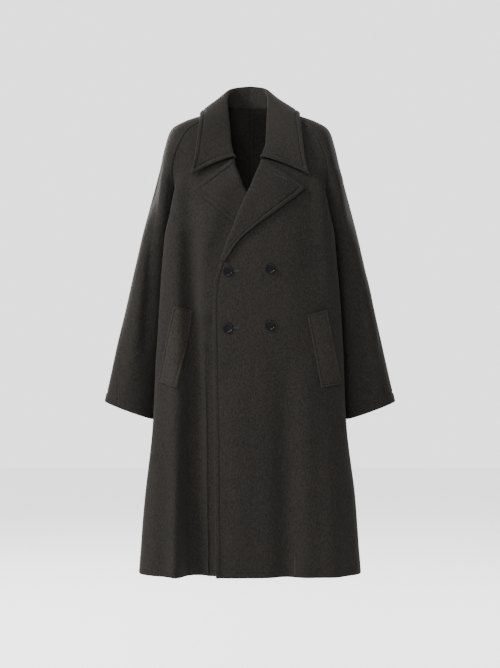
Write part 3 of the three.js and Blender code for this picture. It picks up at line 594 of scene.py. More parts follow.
def collar_grid(grids):
    """Rows from one front end round the back to the other, columns from the neck seam to the outer edge."""
    halves = {}
    places = np.concatenate([np.array(COLLAR_NEAR) / COLLAR_MM_PER_PLACE, np.linspace(0.55, 7, 76)])
    for side_name in ("left", "right"):
        front = grids[f"front_{side_name}"]
        back = grids[f"back_{side_name}"]
        rows_up = np.where(BODY_STATIONS <= GORGE + 1e-6)[0][::-1]
        line = [front[len(BODY_STATIONS) - 1 - i][0] for i in rows_up]
        known = [3 * (GORGE - BODY_STATIONS[i]) / GORGE for i in rows_up]
        for k, half in enumerate(("front", "back")):
            line += list(grids[f"sleeve_{half}_{side_name}"][0][1:])
            known += list(3 + k + SLEEVE_SHARE[1:])
        top = back[-1][::-1]
        run = run_length(top)
        line += list(top[1:])
        known += list(5 + 2 * run[1:] / run[-1])
        neck = by_column(places, np.array(known), np.array(line))
        halves[side_name] = collar_half(side_name, neck, places)
    return np.array(halves["right"] + halves["left"][:-1][::-1])


def grid_normals(grid, facing):
    """Outward direction at each point; a row closed to a point takes those of the row beside it."""
    across = np.empty_like(grid)
    across[:, 1:-1] = grid[:, 2:] - grid[:, :-2]
    across[:, 0] = grid[:, 1] - grid[:, 0]
    across[:, -1] = grid[:, -1] - grid[:, -2]
    up = np.empty_like(grid)
    up[1:-1] = grid[2:] - grid[:-2]
    up[0] = grid[1] - grid[0]
    up[-1] = grid[-1] - grid[-2]
    normals = np.cross(across, up) * facing
    length = np.linalg.norm(normals, axis=2, keepdims=True)
    for i in range(len(grid)):
        if length[i].max() < 1e-6:
            near = i + 1 if i == 0 else i - 1
            normals[i] = normals[near]
            length[i] = length[near]
    return normals / np.maximum(length, 1e-9)


def boundary(shape):
    """Rows and columns of all the points on a piece's edges."""
    rows, columns = shape[:2]
    places = [(i, j) for i in range(rows) for j in (0, columns - 1)]
    return places + [(i, j) for j in range(1, columns - 1) for i in (0, rows - 1)]


def join_seams(pieces):
    """Pieces that share seam points get one common normal there, so that their walls meet face to face."""
    shared = {}
    for name, piece in pieces.items():
        piece["normals"] = grid_normals(piece["grid"], piece["facing"])
        for i, j in boundary(piece["grid"].shape):
            key = tuple(np.round(piece["grid"][i, j] * 10).astype(int))
            shared.setdefault(key, []).append((name, i, j))
    for members in shared.values():
        common = sum(pieces[name]["normals"][i, j] for name, i, j in members)
        common = common / (np.linalg.norm(common) + 1e-9)
        for name, i, j in members:
            pieces[name]["normals"][i, j] = common


def distances(grid):
    """Distance of each point from the four edges of its piece, along rows and columns."""
    step_j = np.linalg.norm(np.diff(grid, axis=1), axis=2)
    step_i = np.linalg.norm(np.diff(grid, axis=0), axis=2)
    from_first = np.concatenate([np.zeros((len(grid), 1)), np.cumsum(step_j, axis=1)], axis=1)
    from_bottom = np.concatenate([np.zeros((1, grid.shape[1])), np.cumsum(step_i, axis=0)], axis=0)
    return {"first": from_first, "last": from_first[:, -1:] - from_first,
            "start": from_bottom, "end": from_bottom[-1:] - from_bottom}


def groove(distance, at, depth, half_width=1.5):
    """Where a line of stitching pulls the cloth in, at a distance from an edge."""
    return -depth * np.exp(-((distance - at) / half_width) ** 2)


def step_up(distance, width, height):
    """A second layer of cloth under the first, out to a width from an edge."""
    return height * smooth_step(width + 1.2, width - 0.6, distance)


def edge_rounding(away, wall):
    """How far a face sinks towards the middle of its wall beside an edge."""
    lowest = np.minimum.reduce([away[k] for k in away])
    inside = np.clip(1 - lowest / EASE_WIDTH, 0, 1)
    return 0.42 * wall * (1 - np.sqrt(1 - inside ** 2 + 1e-9))


def soft_waves(grid, amount, seed):
    """Slow unevenness of soft, heavy cloth."""
    random = np.random.default_rng(seed)
    waves = np.zeros(grid.shape[:2])
    for _ in range(9):
        direction = random.normal(size=3) * [1, 0.6, 0.45]
        direction /= np.linalg.norm(direction)
        length = random.uniform(90, 260)
        phase = random.uniform(0, 6.3)
        waves += np.sin(grid @ direction * 2 * np.pi / length + phase) * length / 260
    return waves * amount / 3


def crease_depth(name, grid):
    """How far a piece's creases move its cloth outwards at each point."""
    depth = np.zeros(grid.shape[:2])
    for on, x0, z0, x1, z1, half_width, deep in CREASES:
        if on != name:
            continue
        run = np.array([x1 - x0, z1 - z0])
        offset = grid[:, :, [0, 2]] - np.array([x0, z0])
        t = (offset @ run) / run.dot(run)
        beside = np.linalg.norm(offset - np.clip(t, 0, 1)[..., None] * run, axis=2)
        fade = smooth_step(-0.25, 0.2, t) * smooth_step(1.25, 0.75, t)
        depth -= deep * fade * np.exp(-(beside / half_width) ** 2)
    return depth


def creases(name, grid):
    """Creases of a piece; the underlap also follows those of the front that lies over it."""
    depth = crease_depth(name, grid)
    if name == "front_right":
        depth += crease_depth("front_left", grid) * smooth_step(-75, -45, grid[:, :, 0])
    return depth


def wall_mesh(name, outer, inner, facing):
    """A closed cloth wall between two grids of points, with a UV map in millimetres along the piece."""
    rows, columns = outer.shape[:2]
    points = np.vstack([outer.reshape(-1, 3), inner.reshape(-1, 3)])
    index = np.arange(rows * columns).reshape(rows, columns)
    far = index + rows * columns

    def quads(a, b, c, d):
        block = np.stack([a.ravel(), b.ravel(), c.ravel(), d.ravel()], axis=1)
        return block if facing > 0 else block[:, ::-1]

    faces = [quads(index[:-1, :-1], index[:-1, 1:], index[1:, 1:], index[1:, :-1]),
             quads(far[:-1, :-1], far[1:, :-1], far[1:, 1:], far[:-1, 1:]),
             quads(index[0, :-1], far[0, :-1], far[0, 1:], index[0, 1:]),
             quads(index[-1, 1:], far[-1, 1:], far[-1, :-1], index[-1, :-1]),
             quads(index[1:, 0], far[1:, 0], far[:-1, 0], index[:-1, 0]),
             quads(index[:-1, -1], far[:-1, -1], far[1:, -1], index[1:, -1])]
    mesh = bpy.data.meshes.new(name)
    mesh.from_pydata((points / 1000).tolist(), [], np.vstack(faces).tolist())
    mesh.update()
    away = distances(outer)
    along_row = np.broadcast_to(away["first"] - away["first"].mean(), index.shape)
    along_column = away["start"]
    flat = np.stack([along_row, along_column], axis=2).reshape(-1, 2) / 1000
    flat = np.vstack([flat, flat])
    layer = mesh.uv_layers.new(name="cloth")
    loops = np.empty(len(mesh.loops), dtype=np.int32)
    mesh.loops.foreach_get("vertex_index", loops)
    layer.data.foreach_set("uv", flat[loops].ravel())
    piece = bpy.data.objects.new(name, mesh)
    bpy.context.scene.collection.objects.link(piece)
    clean_mesh(piece)
    return piece


def clean_mesh(piece):
    """Merges doubled points, for instance where a row closes to a point, and shades the piece smooth."""
    bpy.ops.object.select_all(action="DESELECT")
    bpy.context.view_layer.objects.active = piece
    piece.select_set(True)
    bpy.ops.object.mode_set(mode="EDIT")
    bpy.ops.mesh.select_all(action="SELECT")
    bpy.ops.mesh.remove_doubles(threshold=0.00001)
    bpy.ops.object.mode_set(mode="OBJECT")
    bpy.ops.object.shade_smooth_by_angle(angle=math.radians(50))
    piece.select_set(False)


# Coat, piece by piece.
def cloth_pieces():
    """The points of each cloth piece, which way its wall faces and how thick it is."""
    grids = {}
    for side_name in ("left", "right"):
        grids[f"front_{side_name}"] = body_grid("front", side_name)
        grids[f"back_{side_name}"] = body_grid("back", side_name)
        grids[f"sleeve_front_{side_name}"] = sleeve_grid("front", side_name)
        grids[f"sleeve_back_{side_name}"] = sleeve_grid("back", side_name)
        grids[f"lapel_{side_name}"] = lapel_grid(side_name, grids[f"front_{side_name}"])
    grids["collar"] = collar_grid(grids)
    pieces = {}
    for name, grid in grids.items():
        side = -1 if name.endswith("right") else 1
        facing = 1 if name == "collar" else side if name.startswith("front") else -side
        wall = FOLDED_WALL if name == "collar" or name.startswith("lapel") else CLOTH_WALL
        pieces[name] = {"grid": grid, "facing": facing, "wall": wall, "side": side}
    return pieces


def stitched_step(distance, at, depth, height):
    """A line of stitching and the second layer of cloth that it holds against the edge."""
    return groove(distance, at, depth) + step_up(distance, at, height)


def relief(name, piece, away):
    """Height of creases on both faces of a piece, and of stitching, seams and hems on the shown one."""
    grid = piece["grid"]
    both = creases(name, grid) + soft_waves(grid, 0.8, len(name) + 7 * (piece["side"] > 0))
    shown = np.zeros(grid.shape[:2])
    if name.startswith("front"):
        shown += stitched_step(away["first"], EDGE_STITCH, 1.5, 0.9) * FREE_EDGE
        faced = smooth_step(FACING_WIDTH + 3, FACING_WIDTH - 3, away["first"])
        for inset in HEM_STITCHES:
            shown += groove(away["start"], inset, 0.8) * faced
        shown += step_up(away["start"], HEM_TURN, 0.5) * (1 - faced)
    if name.startswith("sleeve"):
        in_front = "front" in name
        overarm, raglan = ("last", "first") if in_front else ("first", "last")
        shown += groove(away["end"], CUFF_STITCH, 2.0, 1.8) + step_up(away["end"], CUFF_STITCH, 1.0)
        shown += step_up(away[overarm], 6, 0.5) * (1 if in_front else -0.4)
        above_underarm = smooth_step(UNDERARM, UNDERARM - 0.6, SLEEVE_STATIONS)[:, None]
        shown += stitched_step(away[raglan], RAGLAN_STITCH, 0.7, 0.9) * above_underarm
    if name.startswith("back"):
        shown += step_up(away["first"], 6.5, 0.3) + groove(away["first"], 7, 0.3)
    return both, shown


def build_cloth():
    """Makes every cloth wall of the coat, and keeps the face of each that is seen for what goes on it."""
    built = {}
    pieces = cloth_pieces()
    join_seams(pieces)
    for name, piece in pieces.items():
        away = distances(piece["grid"])
        both, shown = relief(name, piece, away)
        wall = piece["wall"]
        ease = edge_rounding(away, wall)
        normals = piece["normals"]
        hem = "end" if name.startswith("sleeve") else "start"
        # Creases run out over the hem and the free front edge, and die out before a seam.
        settle = smooth_step(0, SETTLE_WIDTH, np.minimum.reduce([away[k] for k in away if k != hem]))
        if name.startswith("front"):
            sewn = np.minimum(away["last"], away["end"])
            settle = mix(settle, smooth_step(0, SETTLE_WIDTH, sewn), FREE_EDGE)
        if wall == FOLDED_WALL:
            edge = np.minimum.reduce([away["last"], away["start"], away["end"]])
            stitched = stitched_step(edge, EDGE_STITCH, 2.4, 1.0)
            outer = piece["grid"] - normals * ease[..., None]
            inner = piece["grid"] - normals * (wall - ease + stitched)[..., None]
        else:
            body = both * settle
            outer = piece["grid"] + normals * (body + shown - ease)[..., None]
            inside = np.zeros_like(ease)
            if name.startswith("back"):
                # The pressed centre-back seam, seen from inside below the collar.
                inside = step_up(away["first"], 9, 1.8) + groove(away["first"], 0, 2.6, 1.6)
            hem_ease = edge_rounding({hem: away[hem]}, wall)
            inner = piece["grid"] + normals * (body - wall - inside + hem_ease)[..., None]
        made = wall_mesh(f"cloth_{name}", outer, inner, piece["facing"])
        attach(made, "root")
        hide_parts(name)
        built[name] = made
        piece["shown"] = inner if wall == FOLDED_WALL else outer
        piece["shown_normals"] = -normals if wall == FOLDED_WALL else normals
        piece["away"] = away
    return pieces, built


class FaceMap:
    """Looks up y on a shown face by world x and height, for what lies on it."""

    # Only rows whose middle is this near in height are searched.
    REACH = 60

    def __init__(self, face):
        # Past the corner the cloth turns back towards the side seam, so a row ends where it is widest.
        widest = int(np.argmax(np.abs(face[:, :, 0] - face[:, :1, 0]), axis=1).min()) + 1
        face = face[:, :widest]
        self.rows = face if face[0, 0, 0] < face[0, -1, 0] else face[:, ::-1]

    def y_at(self, x, z):
        """y of the face at each place."""
        shape = np.broadcast(x, z).shape
        found = []
        for at_x, at_z in zip(np.broadcast_to(x, shape).ravel(), np.broadcast_to(z, shape).ravel()):
            nearby = self.rows[np.abs(self.rows[:, len(self.rows[0]) // 2, 2] - at_z) < self.REACH]
            heights = [np.interp(at_x, row[:, 0], row[:, 2]) for row in nearby]
            depths = [np.interp(at_x, row[:, 0], row[:, 1]) for row in nearby]
            found.append(np.interp(at_z, heights, depths))
        return np.array(found).reshape(shape)


def build_welts(face_maps):
    """The pocket welts, folded strips that lie on the fronts and follow their creases."""
    built = {}
    for side_name, side in SIDES.items():
        corners = WELT[side_name]
        u = near_edge(48, WELT_NEAR, 3)
        v = near_edge(185, WELT_NEAR, 4)[::-1]
        (ax, az), (bx, bz) = corners["top"]
        (cx, cz), (dx, dz) = corners["bottom"]
        x = mix(mix(ax, bx, u)[None, :], mix(cx, dx, u)[None, :], v[:, None])
        z = mix(mix(az, bz, u)[None, :], mix(cz, dz, u)[None, :], v[:, None])
        grid = np.stack([x * side, face_maps[side].y_at(x * side, z), z], axis=2)
        normals = grid_normals(grid, side)
        away = distances(grid)
        edge = np.minimum.reduce([away[k] for k in away])
        stitched = groove(edge, WELT_STITCH, 1.8, 1.3) + step_up(edge, WELT_STITCH, 0.6)
        ease = 0.6 * edge_rounding(away, WELT_WALL)
        outer = grid + normals * (WELT_WALL + WELT_LIFT + stitched - ease)[..., None]
        inner = grid + normals * (0.3 + 1.6 * smooth_step(8, 0, edge) + ease)[..., None]
        name = f"pocket_welt_{side_name}"
        made = wall_mesh(f"cloth_{name}", outer, inner, side)
        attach(made, "root")
        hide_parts(name)
        built[name] = {"made": made, "shown": outer, "shown_normals": normals, "away": away}
    return built


# Stitching.
def inset_line(piece, edge, inset, ends=None):
    """Points and normals on a shown face along a line set in from one edge, stopping short of both ends."""
    distance = piece["away"][edge]
    face, normals = piece["shown"], piece["shown_normals"]
    along_edge = piece["away"]["start" if edge in ("first", "last") else "first"]
    against = piece["away"]["end" if edge in ("first", "last") else "last"]
    if edge in ("start", "end"):
        face, normals = face.transpose(1, 0, 2), normals.transpose(1, 0, 2)
        distance, along_edge, against = distance.T, along_edge.T, against.T
    if distance[1, 0] > distance[1, -1]:
        face, normals = face[:, ::-1], normals[:, ::-1]
        distance, along_edge, against = distance[:, ::-1], along_edge[:, ::-1], against[:, ::-1]
    stop = inset if ends is None else ends
    line = []
    facing = []
    for f, n, d, a, b in zip(face, normals, distance, along_edge, against):
        if d[-1] < inset or min(np.interp(inset, d, a), np.interp(inset, d, b)) < stop:
            continue
        line.append(by_column(inset, d, f))
        facing.append(by_column(inset, d, n))
    return np.array(line), np.array(facing)


def evenly(line, facing, pitch):
    """Centres, directions and normals of stitches set at one pitch along a line."""
    run = run_length(line)
    count = max(int(run[-1] / pitch), 2)
    at = np.linspace(0, run[-1], count + 1)
    points = by_column(at, run, line)
    normals = by_column(at, run, facing)
    centres = (points[1:] + points[:-1]) / 2
    return centres, points[1:] - points[:-1], normals[1:]


def grain_of_thread():
    """One stitch of thread, made once with a sphere pulled long; every seam repeats it."""
    bpy.ops.object.select_all(action="DESELECT")
    bpy.ops.mesh.primitive_uv_sphere_add(segments=6, ring_count=4, radius=0.5)
    grain = bpy.context.object
    bpy.ops.object.mode_set(mode="EDIT")
    bpy.ops.mesh.select_all(action="SELECT")
    bpy.ops.transform.rotate(value=math.pi / 2, orient_axis="Y")
    bpy.ops.object.mode_set(mode="OBJECT")
    points = np.array([v.co[:] for v in grain.data.vertices])
    faces = [list(f.vertices) for f in grain.data.polygons]
    bpy.data.objects.remove(grain, do_unlink=True)
    return points, faces


def sew(name, runs, material, grain, length=STITCH_LENGTH, thick=STITCH_THICK):
    """Joins all the stitches of one seam in one piece. Each run holds centres, directions and normals."""
    shape, shape_faces = grain
    points = []
    faces = []
    for centres, directions, normals in runs:
        d = directions / np.linalg.norm(directions, axis=1, keepdims=True)
        n = normals - d * np.sum(normals * d, axis=1, keepdims=True)
        n = n / np.linalg.norm(n, axis=1, keepdims=True)
        across = np.cross(n, d)
        for k in range(len(centres)):
            base = len(points) * len(shape)
            points.append(centres[k] + np.outer(shape[:, 0], d[k]) * length
                          + np.outer(shape[:, 1], across[k]) * thick
                          + np.outer(shape[:, 2] + STITCH_RISE, n[k]) * thick)
            faces += [[base + i for i in f] for f in shape_faces]
    mesh = bpy.data.meshes.new(name)
    mesh.from_pydata((np.vstack(points) / 1000).tolist(), [], faces)
    mesh.update()
    seam = bpy.data.objects.new(name, mesh)
    bpy.context.scene.collection.objects.link(seam)
    bpy.context.view_layer.objects.active = seam
    seam.select_set(True)
    bpy.ops.object.shade_smooth()
    seam.select_set(False)
    seam.data.materials.append(material)
    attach(seam, "root")
    return seam


def edge_seams(pieces, material, grain):
    """Machine stitching along front edges, collar, lapels, hem, cuffs, raglan seams and welts."""
    seams = {}
    for name, piece in pieces.items():
        lines = []
        if name.startswith("front"):
            line, facing = inset_line(piece, "first", EDGE_STITCH)
            low = line[:, 2] < EDGE_STITCH_TOP
            lines.append((line[low], facing[low]))
            for inset in HEM_STITCHES:
                line, facing = inset_line(piece, "start", inset, EDGE_STITCH)
                faced = np.abs(line[:, 0] - line[0, 0]) < HEM_STITCH_END
                lines.append((line[faced], facing[faced]))
        elif name.startswith("sleeve"):
            lines.append(inset_line(piece, "end", CUFF_STITCH, 0.5))
            line, facing = inset_line(piece, "first" if "front" in name else "last", RAGLAN_STITCH, 2)
            high = line[:, 2] > RAGLAN_STITCH_FOOT
            lines.append((line[high], facing[high]))
        elif name.startswith("lapel"):
            lines.append(inset_line(piece, "last", EDGE_STITCH))
            lines.append(inset_line(piece, "end", EDGE_STITCH))
        elif name == "collar":
            for edge in ("last", "start", "end"):
                lines.append(inset_line(piece, edge, EDGE_STITCH))
        elif name.startswith("pocket"):
            for edge in ("first", "last", "start", "end"):
                lines.append(inset_line(piece, edge, WELT_STITCH))
        if lines:
            runs = [evenly(line, facing, STITCH_PITCH) for line, facing in lines if len(line) > 2]
            seams[name] = sew(f"stitching_{name}", runs, material, grain)
    return seams


def on_face(points, face):
    """Points on a shown face from their x and z, with the normals there."""
    step = 1.5
    x, z = points[:, 0], points[:, 1]
    y = face.y_at(x, z)
    slope_x = (face.y_at(x + step, z) - face.y_at(x - step, z)) / (2 * step)
    slope_z = (face.y_at(x, z + step) - face.y_at(x, z - step)) / (2 * step)
    normals = np.stack([slope_x, -np.ones_like(x), slope_z], axis=1)
    return np.stack([x, y, z], axis=1), normals / np.linalg.norm(normals, axis=1, keepdims=True)


def laid_on(face, flat, directions):
    """A run of stitches on a shown face, from their x and z and the way they point."""
    points, normals = on_face(flat, face)
    ahead, _ = on_face(flat + directions, face)
    return points, ahead - points, normals


def buttonhole(name, start, end, face, material, grain):
    """A worked buttonhole: close stitches laid across both lips and fanned round the ends, and a run of dark
    twist along the middle of the slit as painted shadow.
    """
    start, end = np.array(start, float), np.array(end, float)
    run = (end - start) / np.linalg.norm(end - start)
    beside = np.array([-run[1], run[0]])
    length = np.linalg.norm(end - start)
    centres = []
    directions = []
    for at in np.arange(0, length, 0.8):
        for lip in (-1, 1):
            centres.append(start + run * at + beside * lip * 1.5)
            directions.append(beside)
    for tip, out in ((start, -run), (end, run)):
        for angle in np.linspace(-1.3, 1.3, 6):
            spoke = out * math.cos(angle) + beside * math.sin(angle)
            centres.append(tip + spoke * 1.5)
            directions.append(spoke)
    # A run of dark twist along the middle of the slit: painted shadow of the open slit.
    for at in np.arange(0.5, length, 0.8):
        centres.append(start + run * at)
        directions.append(run)
    stitches = laid_on(face, np.array(centres), np.array(directions))
    return sew(name, [stitches], material, grain, length=2.8, thick=1.15)


def lapel_face(lapel):
    """The part of a lapel's shown face that lies over the chest, without the roll."""
    return lapel["shown"][:, ROLL_COLUMNS:]


def bar_tack(start, end):
    """Centres and directions of a short bar of close stitches between two points."""
    start, end = np.array(start, float), np.array(end, float)
    run = (end - start) / np.linalg.norm(end - start)
    beside = np.array([-run[1], run[0]])
    at = np.arange(0, np.linalg.norm(end - start), 0.9)
    return start + run * at[:, None], np.repeat(beside[None, :], len(at), axis=0)


def build_tacks(face_maps, welts, material, grain):
    """Bars that hold the pocket ends, and the stitched end of the facing at the hem."""
    for side_name, side in SIDES.items():
        corners = WELT[side_name]
        welt = FaceMap(welts[f"pocket_welt_{side_name}"]["shown"])
        runs = []
        for (ax, az), (bx, bz) in (corners["top"], corners["bottom"]):
            inwards = -7 if az > -600 else 7
            flat, directions = bar_tack((side * mix(ax, bx, 0.2), mix(az, bz, 0.2) + inwards),
                                        (side * mix(ax, bx, 0.42), mix(az, bz, 0.42) + inwards))
            runs.append(laid_on(welt, flat, directions))
        sew(f"bar_tacks_{side_name}", runs, material, grain, length=2.4, thick=0.9)
    stitches = laid_on(face_maps[1], *bar_tack(*FACING_TACK))
    sew("facing_tack", [stitches], material, grain, length=3.2, thick=0.9)


# Materials.
def linear(hex_colour):
    """A colour as the shader counts it, from its screen value."""
    channels = [int(hex_colour[k:k + 2], 16) / 255 for k in (1, 3, 5)]
    return [c / 12.92 if c <= 0.04045 else ((c + 0.055) / 1.055) ** 2.4 for c in channels] + [1.0]


def add_node(tree, kind, settings=(), links=()):
    """One node with its settings, its values by socket name, and its incoming links by socket name."""
    node = tree.nodes.new(kind)
    for key, value in dict(settings).items():
        if key in node.inputs:
            node.inputs[key].default_value = value
        else:
            setattr(node, key, value)
    for key, source in dict(links).items():
        tree.links.new(source, node.inputs[key])
    return node


def new_material(name, finish):
    """A material with its finish set on the shader's own sockets, its node tree and that shader."""
    material = bpy.data.materials.new(name)
    material.use_nodes = True
    tree = material.node_tree
    skin = tree.nodes["Principled BSDF"]
    for socket, value in finish.items():
        skin.inputs[socket].default_value = value
    return material, tree, skin


def wool_melton(name, dark, light):
    """Milled wool melton: fulled until the weave closes, then brushed. Matte, with a soft nap that lightens
    at grazing angles and a fine melange of fibres. A copy given lighter colours is painted highlight, for
    the nap of pieces cut across the grain catching more light."""
    finish = {"Roughness": 0.92, "Specular IOR Level": 0.25, "Sheen Weight": 0.12, "Sheen Roughness": 0.5,
              "Sheen Tint": linear("#8f8a84")}
    material, tree, skin = new_material(name, finish)
    place = add_node(tree, "ShaderNodeTexCoord").outputs["Object"]
    nap = add_node(tree, "ShaderNodeMapping", {"Scale": (1.0, 1.0, 0.45)},
                   {"Vector": place}).outputs["Vector"]
    # Fibre tufts are 0.3 mm in the real cloth, too fine to show, so they are drawn about 1.1 mm wide.
    fibre = add_node(tree, "ShaderNodeTexNoise", {"Scale": 900.0, "Detail": 3.0, "Roughness": 0.7},
                     {"Vector": nap}).outputs["Fac"]
    # Melange: patches of lighter and darker fibre about 2.4 mm across.
    melange = add_node(tree, "ShaderNodeTexNoise", {"Scale": 420.0, "Detail": 2.0, "Roughness": 0.6},
                       {"Vector": nap}).outputs["Fac"]
    # Slow change of tone in the brushed nap, 125 mm across.
    cloud = add_node(tree, "ShaderNodeTexNoise", {"Scale": 8.0, "Detail": 2.0},
                     {"Vector": place}).outputs["Fac"]
    dark_light = add_node(tree, "ShaderNodeValToRGB", {}, {"Fac": melange})
    dark_light.color_ramp.elements[0].position = 0.36
    dark_light.color_ramp.elements[0].color = linear(dark)
    dark_light.color_ramp.elements[1].position = 0.64
    dark_light.color_ramp.elements[1].color = linear(light)
    fleck = add_node(tree, "ShaderNodeMapRange", {"From Min": 0.62, "From Max": 0.78}, {"Value": fibre})
    with_fleck = add_node(tree, "ShaderNodeMix", {"data_type": "RGBA"})
    tree.links.new(fleck.outputs["Result"], with_fleck.inputs[0])
    tree.links.new(dark_light.outputs["Color"], with_fleck.inputs[6])
    with_fleck.inputs[7].default_value = linear("#423e38")
    warm = add_node(tree, "ShaderNodeMix", {"data_type": "RGBA", "blend_type": "MULTIPLY"})
    warm.inputs[0].default_value = 1.0
    tint = add_node(tree, "ShaderNodeValToRGB", {}, {"Fac": cloud})
    tint.color_ramp.elements[0].color = linear("#e9e9ea")
    tint.color_ramp.elements[1].color = linear("#fff8f2")
    tree.links.new(with_fleck.outputs[2], warm.inputs[6])
    tree.links.new(tint.outputs["Color"], warm.inputs[7])
    tree.links.new(warm.outputs[2], skin.inputs["Base Color"])
    raised = add_node(tree, "ShaderNodeMath", {"operation": "ADD"})
    tree.links.new(fibre, raised.inputs[0])
    tree.links.new(melange, raised.inputs[1])
    bump = add_node(tree, "ShaderNodeBump", {"Strength": 0.35, "Distance": 0.0008},
                    {"Height": raised.outputs[0]})
    tree.links.new(bump.outputs["Normal"], skin.inputs["Normal"])
    return material


def button_resin():
    """Cast polyester resin, turned and polished: near black, glossy, with a faint cloudy depth."""
    finish = {"Roughness": 0.11, "Specular IOR Level": 0.13}
    material, tree, skin = new_material("polyester_resin_polished", finish)
    place = add_node(tree, "ShaderNodeTexCoord").outputs["Object"]
    cloud = add_node(tree, "ShaderNodeTexNoise", {"Scale": 160.0, "Detail": 2.0},
                     {"Vector": place}).outputs["Fac"]
    tone = add_node(tree, "ShaderNodeValToRGB", {}, {"Fac": cloud})
    tone.color_ramp.elements[0].color = linear("#08080a")
    tone.color_ramp.elements[1].color = linear("#1c1b1d")
    tree.links.new(tone.outputs["Color"], skin.inputs["Base Color"])
    return material


def sewing_thread(name, dark, light):
    """Spun polyester thread, dyed close to the cloth and slightly smoother than the wool round it."""
    material, tree, skin = new_material(name, {"Roughness": 0.6})
    place = add_node(tree, "ShaderNodeTexCoord").outputs["Object"]
    twist = add_node(tree, "ShaderNodeTexNoise", {"Scale": 1500.0}, {"Vector": place}).outputs["Fac"]
    tone = add_node(tree, "ShaderNodeValToRGB", {}, {"Fac": twist})
    tone.color_ramp.elements[0].color = linear(dark)
    tone.color_ramp.elements[1].color = linear(light)
    tree.links.new(tone.outputs["Color"], skin.inputs["Base Color"])
    return material


def studio_white():
    """Matte white studio paper."""
    finish = {"Roughness": 0.9, "Emission Color": linear("#ffffff")}
    material, tree, skin = new_material("studio_paper_white", finish)
    place = add_node(tree, "ShaderNodeTexCoord").outputs["Object"]
    grain = add_node(tree, "ShaderNodeTexNoise", {"Scale": 3.0}, {"Vector": place}).outputs["Fac"]
    tone = add_node(tree, "ShaderNodeValToRGB", {}, {"Fac": grain})
    tone.color_ramp.elements[0].color = linear("#fbfbfb")
    tone.color_ramp.elements[1].color = linear("#ffffff")
    tree.links.new(tone.outputs["Color"], skin.inputs["Base Color"])
    # Lit from behind as a light table is, so that it looks as bright as the sweep.
    seen = add_node(tree, "ShaderNodeLightPath").outputs["Is Camera Ray"]
    glow = add_node(tree, "ShaderNodeMapRange", {"To Min": 0.0, "To Max": 1.5}, {"Value": seen})
    tree.links.new(glow.outputs["Result"], skin.inputs["Emission Strength"])
    return material


# Buttons.
def build_button(number, x, z, face, material):
    """A turned disc with a rounded rim and a dish, pierced by four holes; the thread that sews it on is made
    apart.
    """
    chest_y = float(face.y_at(float(x), float(z)))
    bpy.ops.object.select_all(action="DESELECT")
    bpy.ops.mesh.primitive_cylinder_add(vertices=48, radius=BUTTON_RADIUS / 1000, depth=BUTTON_THICK / 1000,
                                        location=(0, 0, BUTTON_THICK / 2000))
    button = bpy.context.object
    button.name = f"button_turned_{number}"
    bpy.ops.object.transform_apply(location=True, rotation=False, scale=False)
    bpy.ops.object.mode_set(mode="EDIT")
    bpy.ops.mesh.select_mode(type="FACE")
    bpy.ops.mesh.select_all(action="DESELECT")
    bpy.ops.object.mode_set(mode="OBJECT")
    top = max(button.data.polygons, key=lambda f: f.center.z)
    top.select = True
    bpy.ops.object.mode_set(mode="EDIT")
    bpy.ops.mesh.inset(thickness=0.0022)
    bpy.ops.mesh.inset(thickness=0.0010, depth=-0.0012)
    bpy.ops.mesh.inset(thickness=0.0012, depth=-0.0003)
    bpy.ops.object.mode_set(mode="OBJECT")
    bevel = button.modifiers.new("rounded", "BEVEL")
    bevel.width = 0.0007
    bevel.segments = 3
    bevel.limit_method = "ANGLE"
    bpy.ops.object.modifier_apply(modifier="rounded")
    pierce(button)
    bpy.ops.object.shade_smooth_by_angle(angle=math.radians(35))
    button.data.materials.append(material)
    stand_on_chest(button, x, chest_y, z)
    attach(button, "root")
    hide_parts(f"button_{number}")
    return [x, chest_y, z]


def button_threads(places, material, grain):
    """Strands of thread on each button, three across each pair of holes, with their ends in the holes."""
    runs = []
    top = BUTTON_THICK - BUTTON_DISH - BUTTON_SEAT
    for x, chest_y, z in places:
        for row in (-1, 1):
            for strand in (-0.45, 0, 0.45):
                place = [x, chest_y - top - 0.2, z + row * HOLE_SPREAD + strand]
                runs.append((np.array([place]), np.array([[1.0, 0, 0]]), np.array([[0, -1.0, 0]])))
    return sew("button_threads", runs, material, grain, length=2 * HOLE_SPREAD + 1.9, thick=0.55)


def pierce(button):
    """Drills the four thread holes."""
    for sx in (-1, 1):
        for sy in (-1, 1):
            centre = (sx * HOLE_SPREAD / 1000, sy * HOLE_SPREAD / 1000, 0)
            bpy.ops.object.select_all(action="DESELECT")
            bpy.ops.mesh.primitive_cylinder_add(vertices=14, radius=HOLE_RADIUS / 1000, depth=0.02,
                                                location=centre)
            drill = bpy.context.object
            bpy.ops.object.transform_apply(location=True, rotation=False, scale=False)
            bpy.context.view_layer.objects.active = button
            cut = button.modifiers.new("hole", "BOOLEAN")
            cut.operation = "DIFFERENCE"
            cut.object = drill
            cut.solver = "EXACT"
            bpy.ops.object.modifier_apply(modifier="hole")
            bpy.data.objects.remove(drill, do_unlink=True)
    bpy.ops.object.select_all(action="DESELECT")
    button.select_set(True)
    bpy.context.view_layer.objects.active = button


def stand_on_chest(piece, x, chest_y, z):
    """Turns a piece made upright at the origin to face forwards, and seats it on the cloth."""
    count = len(piece.data.vertices)
    points = np.empty(count * 3)
    piece.data.vertices.foreach_get("co", points)
    points = points.reshape(-1, 3)
    forwards = chest_y / 1000 - BUTTON_SEAT / 1000 - points[:, 2]
    placed = np.stack([points[:, 0] + x / 1000, forwards, points[:, 1] + z / 1000], axis=1)
    piece.data.vertices.foreach_set("co", placed.ravel())
    piece.data.update()


# Studio, in metres: the camera is level and straight in front.
FLOOR_HEIGHT = -1.62
CAMERA_PLACE = (0, -3.6, -0.561)
LENS = 79.2
SENSOR = 36


